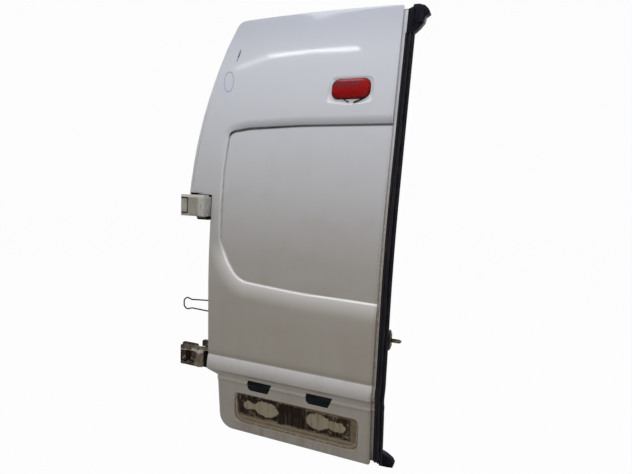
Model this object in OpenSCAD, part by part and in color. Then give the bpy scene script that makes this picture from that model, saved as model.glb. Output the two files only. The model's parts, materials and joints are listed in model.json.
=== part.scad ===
// Left rear barn door of a high-roofed camper van, with both hinges still on it.
// Worked out in door coordinates: X runs from the hinge axis to the free edge, Y into the van,
// Z up from the bottom edge. place() then puts the origin on the upper hinge's mounting face.

/* [Door] */
// Distance from the hinge axis to the free edge of the skin
reach = 868; // [780:4:960]
// Height of the skin at the crown of its top edge
height = 1764; // [1650:4:1900]
// Depth from the skin to the inner panel's face
depth = 48; // [40:1:64]
// Thickness of the outer sheet
skin_t = 1.2; // [1:0.1:2]
// Thickness of the inner panel's sheet
inner_t = 1.2; // [1:0.1:2]
// Width of the hemmed edge between the outline and the inner panel's walls
hem_w = 12; // [9:1:18]
// Radius of the upper outer corner
top_corner_r = 50; // [30:1:80]
// Radius of the lower outer corner
low_corner_r = 62; // [30:1:80]

/* [Side shape] */
// Height at which the door starts to lean into the van
waist_z = 600; // [520:5:640]
// Length of the bend above the waist
bend_len = 450; // [380:10:500]
// Lean below the waist, as a slope
low_lean = 0.036; // [0.02:0.002:0.05]
// Lean above the bend, as a slope
top_lean = 0.19; // [0.12:0.01:0.22]

/* [Hinge edge] */
// X of the skin's outer edge where the flare starts, beside the upper hinge
flare_x = -15; // [-24:1:0]
// Radius of the flare, which draws the upper edge in towards the roof
flare_r = 1650; // [1400:50:2000]
// Height at which the flare starts
flare_z = 1060; // [1030:5:1120]
// Height of the flare's lower edge, just over the upper hinge
notch_z = 1007; // [1003:1:1020]
// X of the straight edge beside the tail lamp, at the upper hinge
notch_x = 104; // [98:1:110]
// How far that edge runs outwards on its way down to the ledge
edge_run = 24; // [0:1:40]
// X of the lower panel's outer edge
low_edge_x = 182; // [170:1:200]

/* [Ledge] */
// Height of the ledge's upper edge
ledge_top_z = 319; // [300:1:340]
// Height of the ledge's lower edge
ledge_low_z = 250; // [240:1:270]
// How far the ledge's nose stands out of the door's bottom edge
ledge_out = 22; // [16:1:30]
// Height of the middle of the bead under the ledge
bead_z = 224; // [216:1:230]
// Height of the bead, across
bead_h = 16; // [10:1:20]
// How far the bead stands out
bead_out = 5; // [3:0.5:8]
// How far the lower panel leans out at the bead
low_out = 12; // [6:1:16]

/* [Window panel] */
// Height of the recessed panel's top edge
panel_top_z = 1292; // [1250:2:1330]
// Height of its bottom edge at the free edge of the door
panel_low_z = 627; // [600:2:680]
// How much that bottom edge rises towards the hinges
panel_rise = 22; // [0:1:40]
// X of the panel's outer edge
panel_x = 147; // [140:1:170]
// Depth of the recess
panel_deep = 9; // [5:1:12]
// Width of the sloping border round it
panel_bevel = 12; // [6:1:20]

/* [Number plate] */
// Width of the number plate's recess
plate_w = 556; // [530:2:580]
// Height of the number plate's recess
plate_h = 134; // [116:1:140]
// Distance from the free edge to the middle of the recess
plate_in = 326; // [300:2:350]
// Z of the middle of the recess
plate_z = 108; // [104:1:116]
// Depth of the recess
plate_deep = 7; // [4:1:10]
// Width of the sloping border round it
plate_bevel = 6; // [3:1:10]

/* [Lamps] */
// Width of a number plate lamp's window
lamp_w = 114; // [90:1:130]
// Height of a number plate lamp's window
lamp_h = 42; // [30:1:46]
// Z of the middle of a number plate lamp's window
lamp_z = 216; // [210:1:222]
// Distance between the middles of the two number plate lamps
lamp_gap = 268; // [200:2:300]
// Distance of the lamps' own middle from the plate's, towards the hinges
lamp_shift = 20; // [0:1:40]
// Width of the brake lamp's lens
brake_w = 160; // [120:1:200]
// Height of the brake lamp's lens
brake_h = 80; // [60:1:100]
// Distance from the free edge to the middle of the brake lamp
brake_in = 180; // [150:2:240]
// Z of the middle of the brake lamp
brake_z = 1438; // [1400:1:1480]
// How far the brake lamp stands out of the skin
brake_out = 14; // [8:1:24]
// Depth of the shallow pocket round the brake lamp
pocket_deep = 3; // [2:0.5:5]

/* [Hinges] */
// Height of the middle of the upper hinge
upper_z = 957; // [945:1:960]
// Height of the middle of the lower hinge
lower_z = 294; // [285:1:300]
// Height of the upper hinge arm
upper_h = 90; // [80:1:92]
// Height of the lower hinge arm
lower_h = 80; // [70:1:90]
// Height of the upper hinge's knuckle, between the arm's ears
upper_knuckle_h = 62; // [50:1:66]
// Height of the lower hinge's knuckle, between the arm's ears
lower_knuckle_h = 54; // [40:1:58]
// Radius of the hinge pins
pin_r = 6; // [5:0.5:8]
// Radius of the ears round the pins
ear_r = 20; // [17:0.5:24]
// Distance of the leaves' mounting faces behind the hinge axis
leaf_back = 44; // [40:1:60]
// Thickness of the leaves
leaf_t = 9; // [6:0.5:12]
// Width of the leaves
leaf_w = 84; // [70:1:96]
// Radius of the leaves' bolt holes
bolt_r = 5.25; // [4.2:0.05:6]
// Distance between the bolt holes in a leaf, across
bolt_gap_x = 56; // [44:1:60]
// Distance between the bolt holes in a leaf, upwards
bolt_gap_z = 50; // [40:1:56]
// Height of the leaves
leaf_h = 78; // [70:1:86]

/* [Free edge] */
// Width of the stepped flange beyond the skin
step_w = 34; // [26:1:44]
// Depth of the flange's face behind the skin
step_deep = 16; // [12:1:22]
// Width of the ribbed seal
seal_w = 30; // [24:1:38]
// Gap between the skin's edge and the seal
seal_gap = 16; // [12:1:20]

/* [Striker] */
// Height of the striker's middle
striker_z = 494; // [460:2:540]
// Radius of the striker's bar
striker_r = 4.5; // [4:0.5:6]
// Reach of the striker's loop beyond its plate
striker_reach = 34; // [26:1:44]
// Distance between the striker's two legs
striker_gap = 19; // [15:1:21]

/* [Check loop] */
// Height of the check loop's middle
loop_z = 520; // [500:2:560]
// Length of the check loop from its pivot to its far end
loop_len = 149; // [110:1:150]
// Distance between the loop's two legs at the pivot
loop_gap = 50; // [40:1:60]
// Radius of the loop's wire
wire_r = 3; // [2:0.5:4]

/* [Inside] */
// Width of the field pressed out of the inner panel, behind the window panel
field_w = 600; // [500:10:640]
// Height of that field
field_h = 530; // [440:10:560]
// Depth of that field
field_deep = 14; // [6:1:20]
// Height of the stiffening beads, across
rib_h = 34; // [24:1:44]
// How far the stiffening beads stand out
rib_out = 6; // [3:1:9]
// Width of each of the two big access holes
access_w = 230; // [180:5:250]
// Height of each of the two big access holes
access_h = 170; // [120:5:190]
// Radius of the locking rods
rod_r = 3.5; // [3:0.5:5]
// Height of the release lever's middle
lever_z = 730; // [700:5:760]

/* [Hidden] */

// Sheet edges meet their neighbours with this much air
air = 0.3;
// Clearance of the pins in the ears that turn on them
pin_fit = 0.05;
// Clearance of the pins in the knuckles that hold them
seat_fit = 0.01;

// Y of the plain leaning face at height z, without the ledge and the lower panel
function lean_y(z) =
    let(d = z - waist_z)
    d < 0 ? low_lean * d
    : d < bend_len ? low_lean * d + (top_lean - low_lean) * d * d / (2 * bend_len)
    : (low_lean + top_lean) / 2 * bend_len + top_lean * (d - bend_len);

bead_low = bead_z - bead_h / 2;
bead_top = bead_z + bead_h / 2;
nose_z = ledge_low_z + 14;

// Y of the door's outer face at height z, with them
function face_y(z) =
    z < bead_low ? -low_out * z / bead_low
    : z < bead_top ? -low_out - bead_out * sin(180 * (z - bead_low) / bead_h)
    : z < ledge_low_z ? -low_out
    : z < nose_z ? -low_out - (ledge_out - low_out) * sin(90 * (z - ledge_low_z) / (nose_z - ledge_low_z))
    : z < ledge_top_z ? lean_y(ledge_top_z) + (-ledge_out - lean_y(ledge_top_z))
        * cos(90 * (z - nose_z) / (ledge_top_z - nose_z))
    : lean_y(z);
function side_y(plain, z) = plain ? lean_y(z) : face_y(z);

// Numbers from one value up to, but not at, another
function steps(from, to, count) = [for (i = [0:count - 1]) from + (to - from) * i / count];

// The whole door lies between these, with room to spare
past = 40;
front_y = -ledge_out - past;
back_y = lean_y(height) + depth + past;
left_x = flare_x - past;
right_x = reach + step_w + 3 * past;

// Heights at which the side shape is worked out
stations = concat(
    [-past / 2], steps(0, bead_low, 2), steps(bead_low, bead_top, 6), [bead_top],
    steps(ledge_low_z, nose_z, 4), steps(nose_z, ledge_top_z, 5), steps(ledge_top_z, waist_z, 2),
    steps(waist_z, waist_z + bend_len, 12), steps(waist_z + bend_len, height + past, 2), [height + past]
);

// All that lies between two depths behind the door's face, or behind the plain leaning face
module band(d0, d1, plain0 = false, plain1 = false, x0 = left_x, x1 = right_x) {
    front = [for (z = stations) [side_y(plain0, z) + d0, z]];
    back = [for (i = [len(stations) - 1:-1:0]) [side_y(plain1, stations[i]) + d1, stations[i]]];
    translate([x0, 0, 0])
        rotate([90, 0, 90])
            linear_extrude(x1 - x0)
                polygon(concat(front, back));
}

// Outlines are lists of corners [x, z, radius], counter-clockwise as seen from outside
function unit(v) = v / norm(v);
function flat(v) = [v[0], v[1]];
function arc_at(a, b, c, r, n) =
    r == 0 ? [b]
    : let(
        u = unit(a - b),
        v = unit(c - b),
        half = acos(u * v) / 2,
        middle = b + unit(u + v) * r / sin(half),
        start = b + u * r / tan(half) - middle,
        turn = (cross(v, u) > 0 ? 1 : -1) * (180 - 2 * half)
    )
    [for (i = [0:n]) middle + [
        start[0] * cos(turn * i / n) - start[1] * sin(turn * i / n),
        start[0] * sin(turn * i / n) + start[1] * cos(turn * i / n)
    ]];
function before(path, i) = path[(i + len(path) - 1) % len(path)];
function after(path, i) = path[(i + 1) % len(path)];
function rounded(path, n = 5) = [
    for (i = [0:len(path) - 1])
        each arc_at(flat(before(path, i)), flat(path[i]), flat(after(path, i)), path[i][2], n)
];

// The outline moved inwards by d; its outer corners get tighter and its inner corners wider
function inset(path, d) = [
    for (i = [0:len(path) - 1])
        let(
            p = flat(path[i]),
            e = unit(p - flat(before(path, i))),
            f = unit(flat(after(path, i)) - p),
            m = [-e[1], e[0]],
            n = [-f[1], f[0]],
            q = p + d * (m + n) / (1 + m * n),
            r = path[i][2]
        )
        [q[0], q[1], r == 0 ? 0 : cross(e, f) > 0 ? max(r - d, 0) : r + d]
];
function box_path(x, z, w, h, r) = [
    [x + w / 2, z - h / 2, r], [x + w / 2, z + h / 2, r], [x - w / 2, z + h / 2, r], [x - w / 2, z - h / 2, r]
];

// All that lies inside an outline, from in front of the door to behind it
module prism(path, over = 0) {
    translate([0, back_y + over, 0])
        rotate([90, 0, 0])
            linear_extrude(back_y - front_y + 2 * over)
                polygon(rounded(path));
}

// Sheet that fills an outline at one depth
module sheet(path, at, t, plain = false) {
    intersection() {
        band(at, at + t, plain, plain);
        prism(path);
    }
}

// Wall along the inside of an outline
module wall(path, wide, d0, d1, plain0 = false, plain1 = false) {
    intersection() {
        band(d0, d1, plain0, plain1);
        difference() {
            prism(path);
            prism(inset(path, wide), 1);
        }
    }
}

// Where the side shape bends between two points of an outline, as shares of the way
function bends(a, b) =
    let(order = b[1] > a[1] ? [0:len(stations) - 1] : [len(stations) - 1:-1:0])
    concat([0], [for (i = order) let(t = (stations[i] - a[1]) / (b[1] - a[1])) if (t > 0 && t < 1) t]);

// Sloping border of a pressed field, from its outline at depth d0 to its floor's edge at depth d1.
// Its edges lie within the sheets that it joins.
lap = 0.5;
module bevel(path, wide, d0, d1, t, plain = false) {
    outer = rounded(path);
    inner = rounded(inset(path, wide));
    count = len(outer);
    cuts = [for (i = [0:count - 1]) let(j = (i + 1) % count)
        outer[i][1] == outer[j][1] ? [0] : bends(outer[i], outer[j])];
    function split(pts) = [for (i = [0:count - 1]) each [for (c = cuts[i]) pts[i] * (1 - c) + pts[(i + 1) % count] * c]];
    function ring(pts, d) = [for (p = pts) [p[0], side_y(plain, p[1]) + d, p[1]]];
    n = len(split(outer));
    thin = t / 10;
    polyhedron(
        concat(
            ring(split(outer), d0 + thin), ring(split(outer), d0 + t - thin),
            ring(split(inner), d1 + t - thin), ring(split(inner), d1 + thin)
        ),
        [for (k = [0:3], i = [0:n - 1]) [
            k * n + i, k * n + (i + 1) % n, (k + 1) % 4 * n + (i + 1) % n, (k + 1) % 4 * n + i
        ]]
    );
}

// Field pressed out of a sheet: its sloping border and its floor
module pressed(path, wide, d0, d1, t, plain = false) {
    bevel(path, wide, d0, d1, t, plain);
    sheet(inset(path, wide - lap), d1, t, plain);
}

// Wire of many sides along a flat run of corners [x, y, radius], from its first to its last
module wire(corners, r, sides = 12) {
    last_corner = len(corners) - 1;
    path = [
        flat(corners[0]),
        for (i = [1:last_corner - 1])
            each arc_at(flat(corners[i - 1]), flat(corners[i]), flat(corners[i + 1]), corners[i][2], 4),
        flat(corners[last_corner])
    ];
    last = len(path) - 1;
    function ring(i) =
        let(
            e = unit(path[max(i, 1)] - path[max(i, 1) - 1]),
            f = i == last ? e : unit(path[i + 1] - path[i]),
            side = [-e[1] - f[1], e[0] + f[0]] / (1 + e * f)
        )
        [for (k = [0:sides - 1]) let(a = 360 * k / sides) concat(path[i] + r * cos(a) * side, r * sin(a))];
    polyhedron(
        [for (i = [0:last]) each ring(i)],
        [
            [for (k = [0:sides - 1]) k],
            for (i = [0:last - 1], k = [0:sides - 1]) [
                i * sides + k, (i + 1) * sides + k,
                (i + 1) * sides + (k + 1) % sides, i * sides + (k + 1) % sides
            ],
            [for (k = [sides - 1:-1:0]) last * sides + k]
        ]
    );
}

// The origin is the middle of the upper leaf's mounting face
module place() {
    translate([0, -leaf_back, -upper_z])
        children();
}

// Edges of the skin
top_peak_x = reach / 2;
top_crown_r = 9000;
function top_z(x) = height - pow(x - top_peak_x, 2) / (2 * top_crown_r);
function flare_edge(z) = flare_x + flare_r - sqrt(flare_r * flare_r - pow(max(0, z - flare_z), 2));
top_left_x = flare_edge(height);
ledge_end_x = notch_x + edge_run;
// X of the straight edge between the hinges at height z
function edge_x(z) = notch_x + edge_run * (notch_z - z) / (notch_z - ledge_top_z);

// Outline of the door with its free edge at the given X
function door_path(right) = concat(
    [[right, 0, 5], [right, top_z(right), 8]],
    [for (x = steps(reach, top_left_x, 6)) if (x < reach) [x, top_z(x), 0]],
    [[top_left_x, top_z(top_left_x), top_corner_r]],
    [for (z = steps(height - 2.5 * top_corner_r, flare_z, 6)) [flare_edge(z), z, 0]],
    [
        [flare_x, flare_z, 0],
        [flare_x, notch_z, 4],
        [notch_x, notch_z, 6],
        [ledge_end_x, ledge_top_z, 0],
        [ledge_end_x + 2, ledge_low_z, 8],
        [low_edge_x, ledge_low_z - 14, 8],
        [low_edge_x + 8, 0, low_corner_r]
    ]
);
skin_path = door_path(reach);
inner_path = inset(door_path(reach + step_w + hem_w), hem_w);

// The recessed window panel runs out through the free edge
panel_path = [
    [right_x, panel_low_z, 0],
    [right_x, panel_top_z, 0],
    [panel_x, panel_top_z, 34],
    [panel_x + 1, panel_top_z - 192, 400],
    [panel_x + 22, panel_low_z + 170, 50],
    [panel_x + 118, panel_low_z + panel_rise + 8, 40],
    [reach - 340, panel_low_z + 4, 900]
];
plate_x = reach - plate_in;
plate_path = box_path(plate_x, plate_z, plate_w, plate_h, 18);
brake_x = reach - brake_in;
pocket_path = [
    [brake_x + brake_w / 2 + 12, brake_z - brake_h / 2 - 12, 14],
    [brake_x + brake_w / 2 + 8, brake_z + brake_h / 2 + 6, 24],
    [brake_x - brake_w / 2 - 8, brake_z + brake_h / 2 + 6, 24],
    [brake_x - brake_w / 2 - 20, brake_z - brake_h / 2 - 10, 14],
    [brake_x, brake_z - brake_h / 2 - 22, 200]
];

// A number plate lamp's window: a trapezoid with its lower inner corner cut off
lamp_xs = [for (s = [-1, 1]) plate_x - lamp_shift + s * lamp_gap / 2];
function lamp_path(x) = [
    [x + lamp_w / 2 - 20, lamp_z - lamp_h / 2, 3],
    [x + lamp_w / 2, lamp_z + lamp_h / 2, 3],
    [x - lamp_w / 2, lamp_z + lamp_h / 2, 3],
    [x - lamp_w / 2, lamp_z - lamp_h / 2 + 10, 3],
    [x - lamp_w / 2 + 12, lamp_z - lamp_h / 2, 3]
];

// A cylinder on the Z axis, half above and half below
module round_z(h, r) {
    cylinder(h = h, r = r, center = true, $fn = 48);
}

// A block with the given outline as seen from above, half above and half below
module block_z(path, h) {
    linear_extrude(h, center = true)
        polygon(rounded(path, 7));
}

// Frame side of a hinge: a flat leaf and a square knuckle on a neck
knuckle_r = ear_r - 3;
neck_w = 22;
module frame_leaf(mid_z, knuckle_h) {
    translate([0, 0, mid_z])
        difference() {
            union() {
                block_z([
                    [-knuckle_r, -knuckle_r, 9], [knuckle_r, -knuckle_r, 7], [knuckle_r, 13, 6],
                    [neck_w / 2, 20, 4], [neck_w / 2, leaf_back - leaf_t / 2, 0],
                    [-neck_w / 2, leaf_back - leaf_t / 2, 0], [-neck_w / 2, 20, 4], [-knuckle_r, 13, 6]
                ], knuckle_h);
                translate([0, leaf_back, 0])
                    rotate([90, 0, 0])
                        linear_extrude(leaf_t)
                            polygon(rounded(box_path(0, 0, leaf_w, leaf_h, 8)));
            }
            round_z(knuckle_h + 2, pin_r + seat_fit);
            for (sx = [-1, 1], sz = [-1, 1])
                translate([sx * bolt_gap_x / 2, leaf_back - leaf_t / 2, sz * bolt_gap_z / 2])
                    rotate([90, 0, 0])
                        round_z(leaf_t + 2, bolt_r);
        }
}

module upper_frame_leaf() color("#8d8b86") place()
    frame_leaf(upper_z, upper_knuckle_h);

// The lower knuckle carries a round boss, seen between the ears
module lower_frame_leaf() color("#6f6a60") place() {
    frame_leaf(lower_z, lower_knuckle_h);
    translate([2, -knuckle_r + 0.5, lower_z - 12])
        rotate([90, 0, 0])
            difference() {
                cylinder(h = 4, r = 12, $fn = 32);
                translate([0, 0, 1.5])
                    cylinder(h = 4, r = 6, $fn = 6);
            }
}

module hinge_pin(mid_z, arm_h) {
    translate([0, 0, mid_z])
        round_z(arm_h - 4, pin_r);
}

module upper_hinge_pin() color("#a6a39c") place()
    hinge_pin(upper_z, upper_h);

module lower_hinge_pin() color("#8a7f70") place()
    hinge_pin(lower_z, lower_h);

// Door side of the upper hinge: a painted box with two ears, closing over the notch in the skin.
// Behind it a web reaches round the skin's edge to the wall of the inner panel.
box_left = ear_r + 4;
module upper_hinge_arm() color("#d4d3cf") place() {
    box_right = notch_x + 3;
    box_back = ear_r - 4;
    web_t = 10;
    web_x = notch_x - 4 - web_t;
    web_drop = 14;
    web_top = upper_h / 2 - 8;
    web_h = upper_h + web_drop - 8;
    web_back = lean_y(upper_z + web_top) + panel_deep + 14;
    translate([0, 0, upper_z]) {
        difference() {
            intersection() {
                block_z([
                    [-ear_r, -ear_r, ear_r], [box_right - 2, -ear_r, 10],
                    [box_right, box_back, 2], [-ear_r, box_back, 14]
                ], upper_h);
                translate([-ear_r - 5, 0, 0])
                    rotate([90, 0, 90])
                        linear_extrude(box_right + ear_r + 10)
                            polygon(rounded([
                                [-ear_r, -upper_h / 2, 5], [box_back, -upper_h / 2, 2],
                                [box_back, upper_h / 2, 3], [-ear_r, upper_h / 2, 11]
                            ]));
            }
            translate([-2 * ear_r, -2 * ear_r, -upper_knuckle_h / 2 - air])
                cube([2 * ear_r + box_left, 4 * ear_r, upper_knuckle_h + 2 * air]);
            round_z(upper_h + 2, pin_r + pin_fit);
        }
        translate([web_x, box_back - 10, web_top - web_h])
            cube([web_t, web_back - box_back + 10, web_h]);
        translate([web_x - 30, box_back - 22, -upper_h / 2 - web_drop + 8])
            cube([30 + web_t, 20, web_drop]);
        translate([web_x, web_back - web_t, web_top - web_h])
            cube([notch_x + hem_w - web_x - air, web_t, web_h]);
    }
}

// Door side of the lower hinge: a bare casting, two ears run into a round column
module lower_hinge_arm() color("#7b756a") place() {
    column_r = 22;
    column_x = 84;
    ear_h = (lower_h - lower_knuckle_h) / 2 - air;
    rib_t = 9;
    translate([0, 0, lower_z])
        difference() {
            union() {
                for (s = [-1, 1])
                    translate([0, 0, s * (lower_h / 2 - ear_h / 2)]) {
                        round_z(ear_h, ear_r);
                        block_z([
                            [0, -ear_r + 2, 0], [column_x, -column_r + 2, 0],
                            [column_x, column_r - 4, 0], [0, ear_r - 2, 0]
                        ], ear_h);
                    }
                translate([column_x, 0, 0])
                    round_z(lower_h, column_r);
                translate([column_x, 0, 0])
                    block_z([
                        [0, 0, 0], [ledge_end_x + hem_w - column_x - air, 0, 2],
                        [ledge_end_x + hem_w - column_x - air, 20, 2], [0, 20, 0]
                    ], lower_h - 16);
                translate([box_left + 14, 2, 0])
                    block_z(box_path(rib_t, 0, rib_t * 3, 20, 3), lower_h - 2);
            }
            round_z(lower_h + 2, pin_r + pin_fit);
        }
}

// Rubber packing between the lower hinge's column and the end of the ledge
packing_x = 108;
module lower_hinge_packing() color("#1d1c1b") place()
    translate([packing_x, -14, lower_z - 38])
        cube([ledge_end_x - packing_x - air, 14 - air, 70]);

// Small rusty stop over the lower hinge, on the wall of the inner panel
module lower_stop_block() color("#5a4638") place() {
    stop_w = 26;
    stop_h = 28;
    stop_low = lower_z + lower_h / 2 + 18;
    translate([edge_x(stop_low + stop_h) + hem_w - air - stop_w, 6, stop_low])
        cube([stop_w, 20, stop_h]);
}

// Outer skin: one pressing, hemmed round its edge and turned back deeper down the free edge
hem_t = 2 * skin_t + inner_t + air;
module outer_skin() color("#c9cac9") place() {
    difference() {
        sheet(skin_path, 0, skin_t);
        for (field = [panel_path, plate_path, pocket_path])
            prism(inset(field, lap), 1);
        for (x = lamp_xs)
            prism(lamp_path(x), 1);
    }
    intersection() {
        pressed(panel_path, panel_bevel, 0, panel_deep, skin_t);
        prism(skin_path);
    }
    pressed(plate_path, plate_bevel, 0, plate_deep, skin_t);
    pressed(pocket_path, pocket_deep + 1, 0, pocket_deep, skin_t);
    difference() {
        union() {
            wall(skin_path, skin_t, 0, hem_t);
            wall(skin_path, hem_w - 3, hem_t - skin_t, hem_t);
        }
        prism(inset(panel_path, -1), 1);
    }
    difference() {
        intersection() {
            wall(skin_path, skin_t, 0, step_deep - air);
            translate([reach - 2 * skin_t, front_y, 0])
                cube([4 * skin_t, back_y - front_y, height]);
        }
        intersection() {
            band(-1, panel_deep);
            prism(inset(panel_path, panel_bevel / 2));
        }
    }
}

// Inner panel: a deep tray behind the skin, with a pressed field, stiffening beads and access holes
module inner_panel() color("#bfc0bf") place() {
    back = depth - inner_t;
    fields = [
        [field_path, 16, back - field_deep],
        for (rib = rib_paths) [rib, rib_out, back + rib_out]
    ];
    difference() {
        sheet(inner_path, back, inner_t, true);
        for (f = fields)
            prism(inset(f[0], lap), 1);
        for (hole = hole_paths)
            prism(hole, 1);
    }
    for (f = fields)
        pressed(f[0], f[1], back, f[2], inner_t, true);
    difference() {
        wall(inner_path, inner_t, skin_t + air, depth, false, true);
        translate([reach - hem_w - 2, 0, 0])
            intersection() {
                band(-1, step_deep + inner_t + air, x0 = 0, x1 = 3 * past);
                translate([0, front_y, -past])
                    cube([3 * past, back_y - front_y, height + 2 * past]);
            }
    }
}
mid_x = (edge_x(waist_z) + reach) / 2;
field_path = box_path(mid_x, (panel_low_z + panel_top_z) / 2 + 12, field_w, field_h, 60);
rib_paths = [
    box_path(mid_x + 20, panel_top_z + 56, field_w - 60, rib_h, rib_h / 2 - 1),
    box_path(mid_x + 40, height - 90, field_w - 100, rib_h, rib_h / 2 - 1),
    box_path(mid_x + 20, ledge_top_z + 16, field_w, rib_h, rib_h / 2 - 1)
];
hole_z = (panel_low_z + ledge_top_z) / 2 + 14;
brake_hole = [brake_x - 24, brake_z, 200, 110];
hole_paths = [
    for (s = [-1, 1]) box_path(mid_x + s * (access_w / 2 + 35), hole_z, access_w, access_h, 36),
    box_path(brake_hole[0], brake_hole[1], brake_hole[2], brake_hole[3], 30),
    box_path(mid_x - field_w / 4, brake_z, 120, 90, 30)
];

// Stepped flange of the free edge, on which the seal sits and over which the other door closes
module step_flange() color("#c4c5c4") place()
    intersection() {
        band(step_deep, step_deep + inner_t, x0 = reach - hem_w, x1 = reach + step_w);
        translate([0, front_y, 14])
            cube([right_x, back_y - front_y, top_z(reach + step_w) - 28]);
    }

// Brake lamp: a gasket in the pocket, and a lens with a stepped edge
gasket_t = 2;
module brake_lamp_base() color("#33302e") place()
    sheet(box_path(brake_x, brake_z, brake_w + 4, brake_h + 4, 22), pocket_deep - gasket_t, gasket_t - air);

module brake_lamp_lens() color("#b0202a") place() {
    lens = box_path(brake_x, brake_z, brake_w, brake_h, 20);
    back = pocket_deep - gasket_t - air;
    sheet(lens, -brake_out / 2, brake_out / 2 + back);
    bevel(lens, 5, -brake_out / 2, -brake_out, 3);
    sheet(inset(lens, 5 - lap), -brake_out, brake_out / 2 + 1);
}

// Number plate lamps, behind their windows in the skin
module lamp_body(x) {
    sheet(box_path(x, lamp_z, lamp_w + 12, lamp_h + 10, 6), skin_t + air, 13);
}
module lamp_lens(x) {
    sheet(inset(lamp_path(x), air), 0, skin_t);
}
module plate_lamp_body_left() color("#2b2f2c") place() lamp_body(lamp_xs[0]);
module plate_lamp_body_right() color("#2b2f2c") place() lamp_body(lamp_xs[1]);
module plate_lamp_lens_left() color("#3d4a44") place() lamp_lens(lamp_xs[0]);
module plate_lamp_lens_right() color("#3d4a44") place() lamp_lens(lamp_xs[1]);

// Ribbed seal down the free edge, between its moulded end and its foot
top_end_z = height - 124;
foot_top_z = 57;
seal_x = reach + seal_gap;
module centre_seal() color("#17181a") place() {
    rib_w = 4;
    rib_gap = (seal_w - 2 * rib_w) / 2;
    base_t = 6;
    intersection() {
        union() {
            band(step_deep - base_t, step_deep - air, x0 = seal_x, x1 = seal_x + seal_w);
            for (i = [0:2]) {
                x = seal_x + 2 + i * rib_gap;
                band(step_deep - 2 * base_t, step_deep - base_t, x0 = x, x1 = x + rib_w);
            }
        }
        translate([0, front_y, foot_top_z + air])
            cube([right_x, back_y - front_y, top_end_z - foot_top_z - 2 * air]);
    }
}

// Moulded upper end of the seal, hooked over the corner of the other door
module seal_top_end() color("#141517") place()
    intersection() {
        band(step_deep - 12, depth - 8);
        prism([
            [seal_x, top_end_z, 2], [reach + 46, top_end_z + 6, 8], [reach + 64, top_end_z + 22, 10],
            [reach + 80, top_end_z + 42, 8], [reach + 83, top_end_z + 62, 3], [reach + 99, top_end_z + 74, 3],
            [reach + 92, top_end_z + 90, 8], [reach + 78, top_end_z + 104, 10], [reach + 56, top_end_z + 112, 6],
            [reach + step_w + air, top_end_z + 112, 3], [reach + step_w + air, top_end_z + 104, 0],
            [seal_x, top_end_z + 96, 2]
        ]);
        translate([seal_x, front_y, 0])
            difference() {
                cube([right_x, back_y - front_y, 2 * height]);
                translate([-1, 0, 0])
                    intersection() {
                        translate([0, 0, top_end_z - 1])
                            cube([reach + step_w + air - seal_x + 1, back_y - front_y, 200]);
                        translate([-seal_x, -front_y, 0])
                            band(step_deep - air, 3 * depth);
                    }
            }
    }

// Moulded foot of the seal
module seal_foot() color("#151617") place()
    intersection() {
        band(step_deep - 4, depth - 8);
        prism([
            [reach + step_w + air, 2, 0], [reach + 62, 3, 2], [reach + 88, 6, 3],
            [reach + 92, 22, 6], [reach + 84, 36, 8], [reach + 62, 50, 8],
            [reach + 44, foot_top_z, 4], [reach + step_w + air, foot_top_z, 0]
        ]);
    }

// Striker for the other door's latch: a block, a plate and a bent bar, lined up on their middle
striker_h = 74;
striker_w = 32;
striker_block_t = 16;
striker_plate_t = 3;
striker_plate_x = reach + step_w + striker_block_t + 2 * air;
striker_y = face_y(striker_z + striker_h / 2) + step_deep + striker_w / 2;
module striker_slab(x, t, w, h) {
    translate([x, striker_y, striker_z])
        rotate([90, 0, 90])
            linear_extrude(t)
                polygon(rounded(box_path(0, 0, w, h, 7)));
}
module striker_block() color("#1a1a1a") place()
    striker_slab(reach + step_w + air, striker_block_t, striker_w, striker_h);

module striker_plate() color("#9b968c") place()
    striker_slab(striker_plate_x, striker_plate_t, striker_w - 2, striker_h - 20);

module striker_loop() color("#a7a298") place() {
    half = striker_gap / 2;
    bend = 7;
    translate([striker_plate_x + striker_plate_t + air, striker_y, striker_z]) {
        for (side = [0, 1])
            mirror([0, side, 0]) {
                translate([0, half, 0])
                    rotate([0, 90, 0])
                        cylinder(h = striker_reach - bend, r = striker_r, $fn = 24);
                translate([striker_reach - bend, half - bend, 0])
                    rotate_extrude(angle = 90, $fn = 48)
                        translate([bend, 0])
                            circle(r = striker_r, $fn = 24);
            }
        translate([striker_reach, 0, 0])
            rotate([90, 0, 0])
                cylinder(h = 2 * (half - bend), r = striker_r, center = true, $fn = 24);
    }
}

// Wire loop that checks the door's swing, on a bracket behind the hinge edge
loop_x = edge_x(loop_z) + 2;
loop_y = 24;
pin_z = loop_gap / 2 - 12;
module loop_bracket() color("#77736b") place()
    difference() {
        for (s = [-1, 1])
            translate([loop_x - 6, loop_y - 7, loop_z + s * pin_z - 3])
                cube([15 - air, 14, 6]);
        translate([loop_x, loop_y, loop_z])
            round_z(loop_gap + 20, wire_r + pin_fit);
    }

// The loop narrows to a neck and opens again into a bell at its far end.
// Its two straight legs turn in the bracket.
module check_loop() color("#8f8b84") place()
    translate([loop_x, loop_y, loop_z]) {
        half = loop_gap / 2;
        leg_end = half - 8.5;
        side = [
            [0, half, 7], [43 - loop_len, half - 6, 20],
            [16 - loop_len, half + 2, 9], [-loop_len, half - 11, 9]
        ];
        other_side = [for (i = [len(side) - 1:-1:0]) [side[i][0], -side[i][1], side[i][2]]];
        rotate([90, 0, 0])
            wire(concat([[0, leg_end - 2]], side, other_side, [[0, 2 - leg_end]]), 0.97 * wire_r);
        for (s = [-1, 1])
            translate([0, 0, s * (leg_end + pin_z - 7) / 2])
                round_z(leg_end - pin_z + 7, wire_r);
    }

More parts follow.
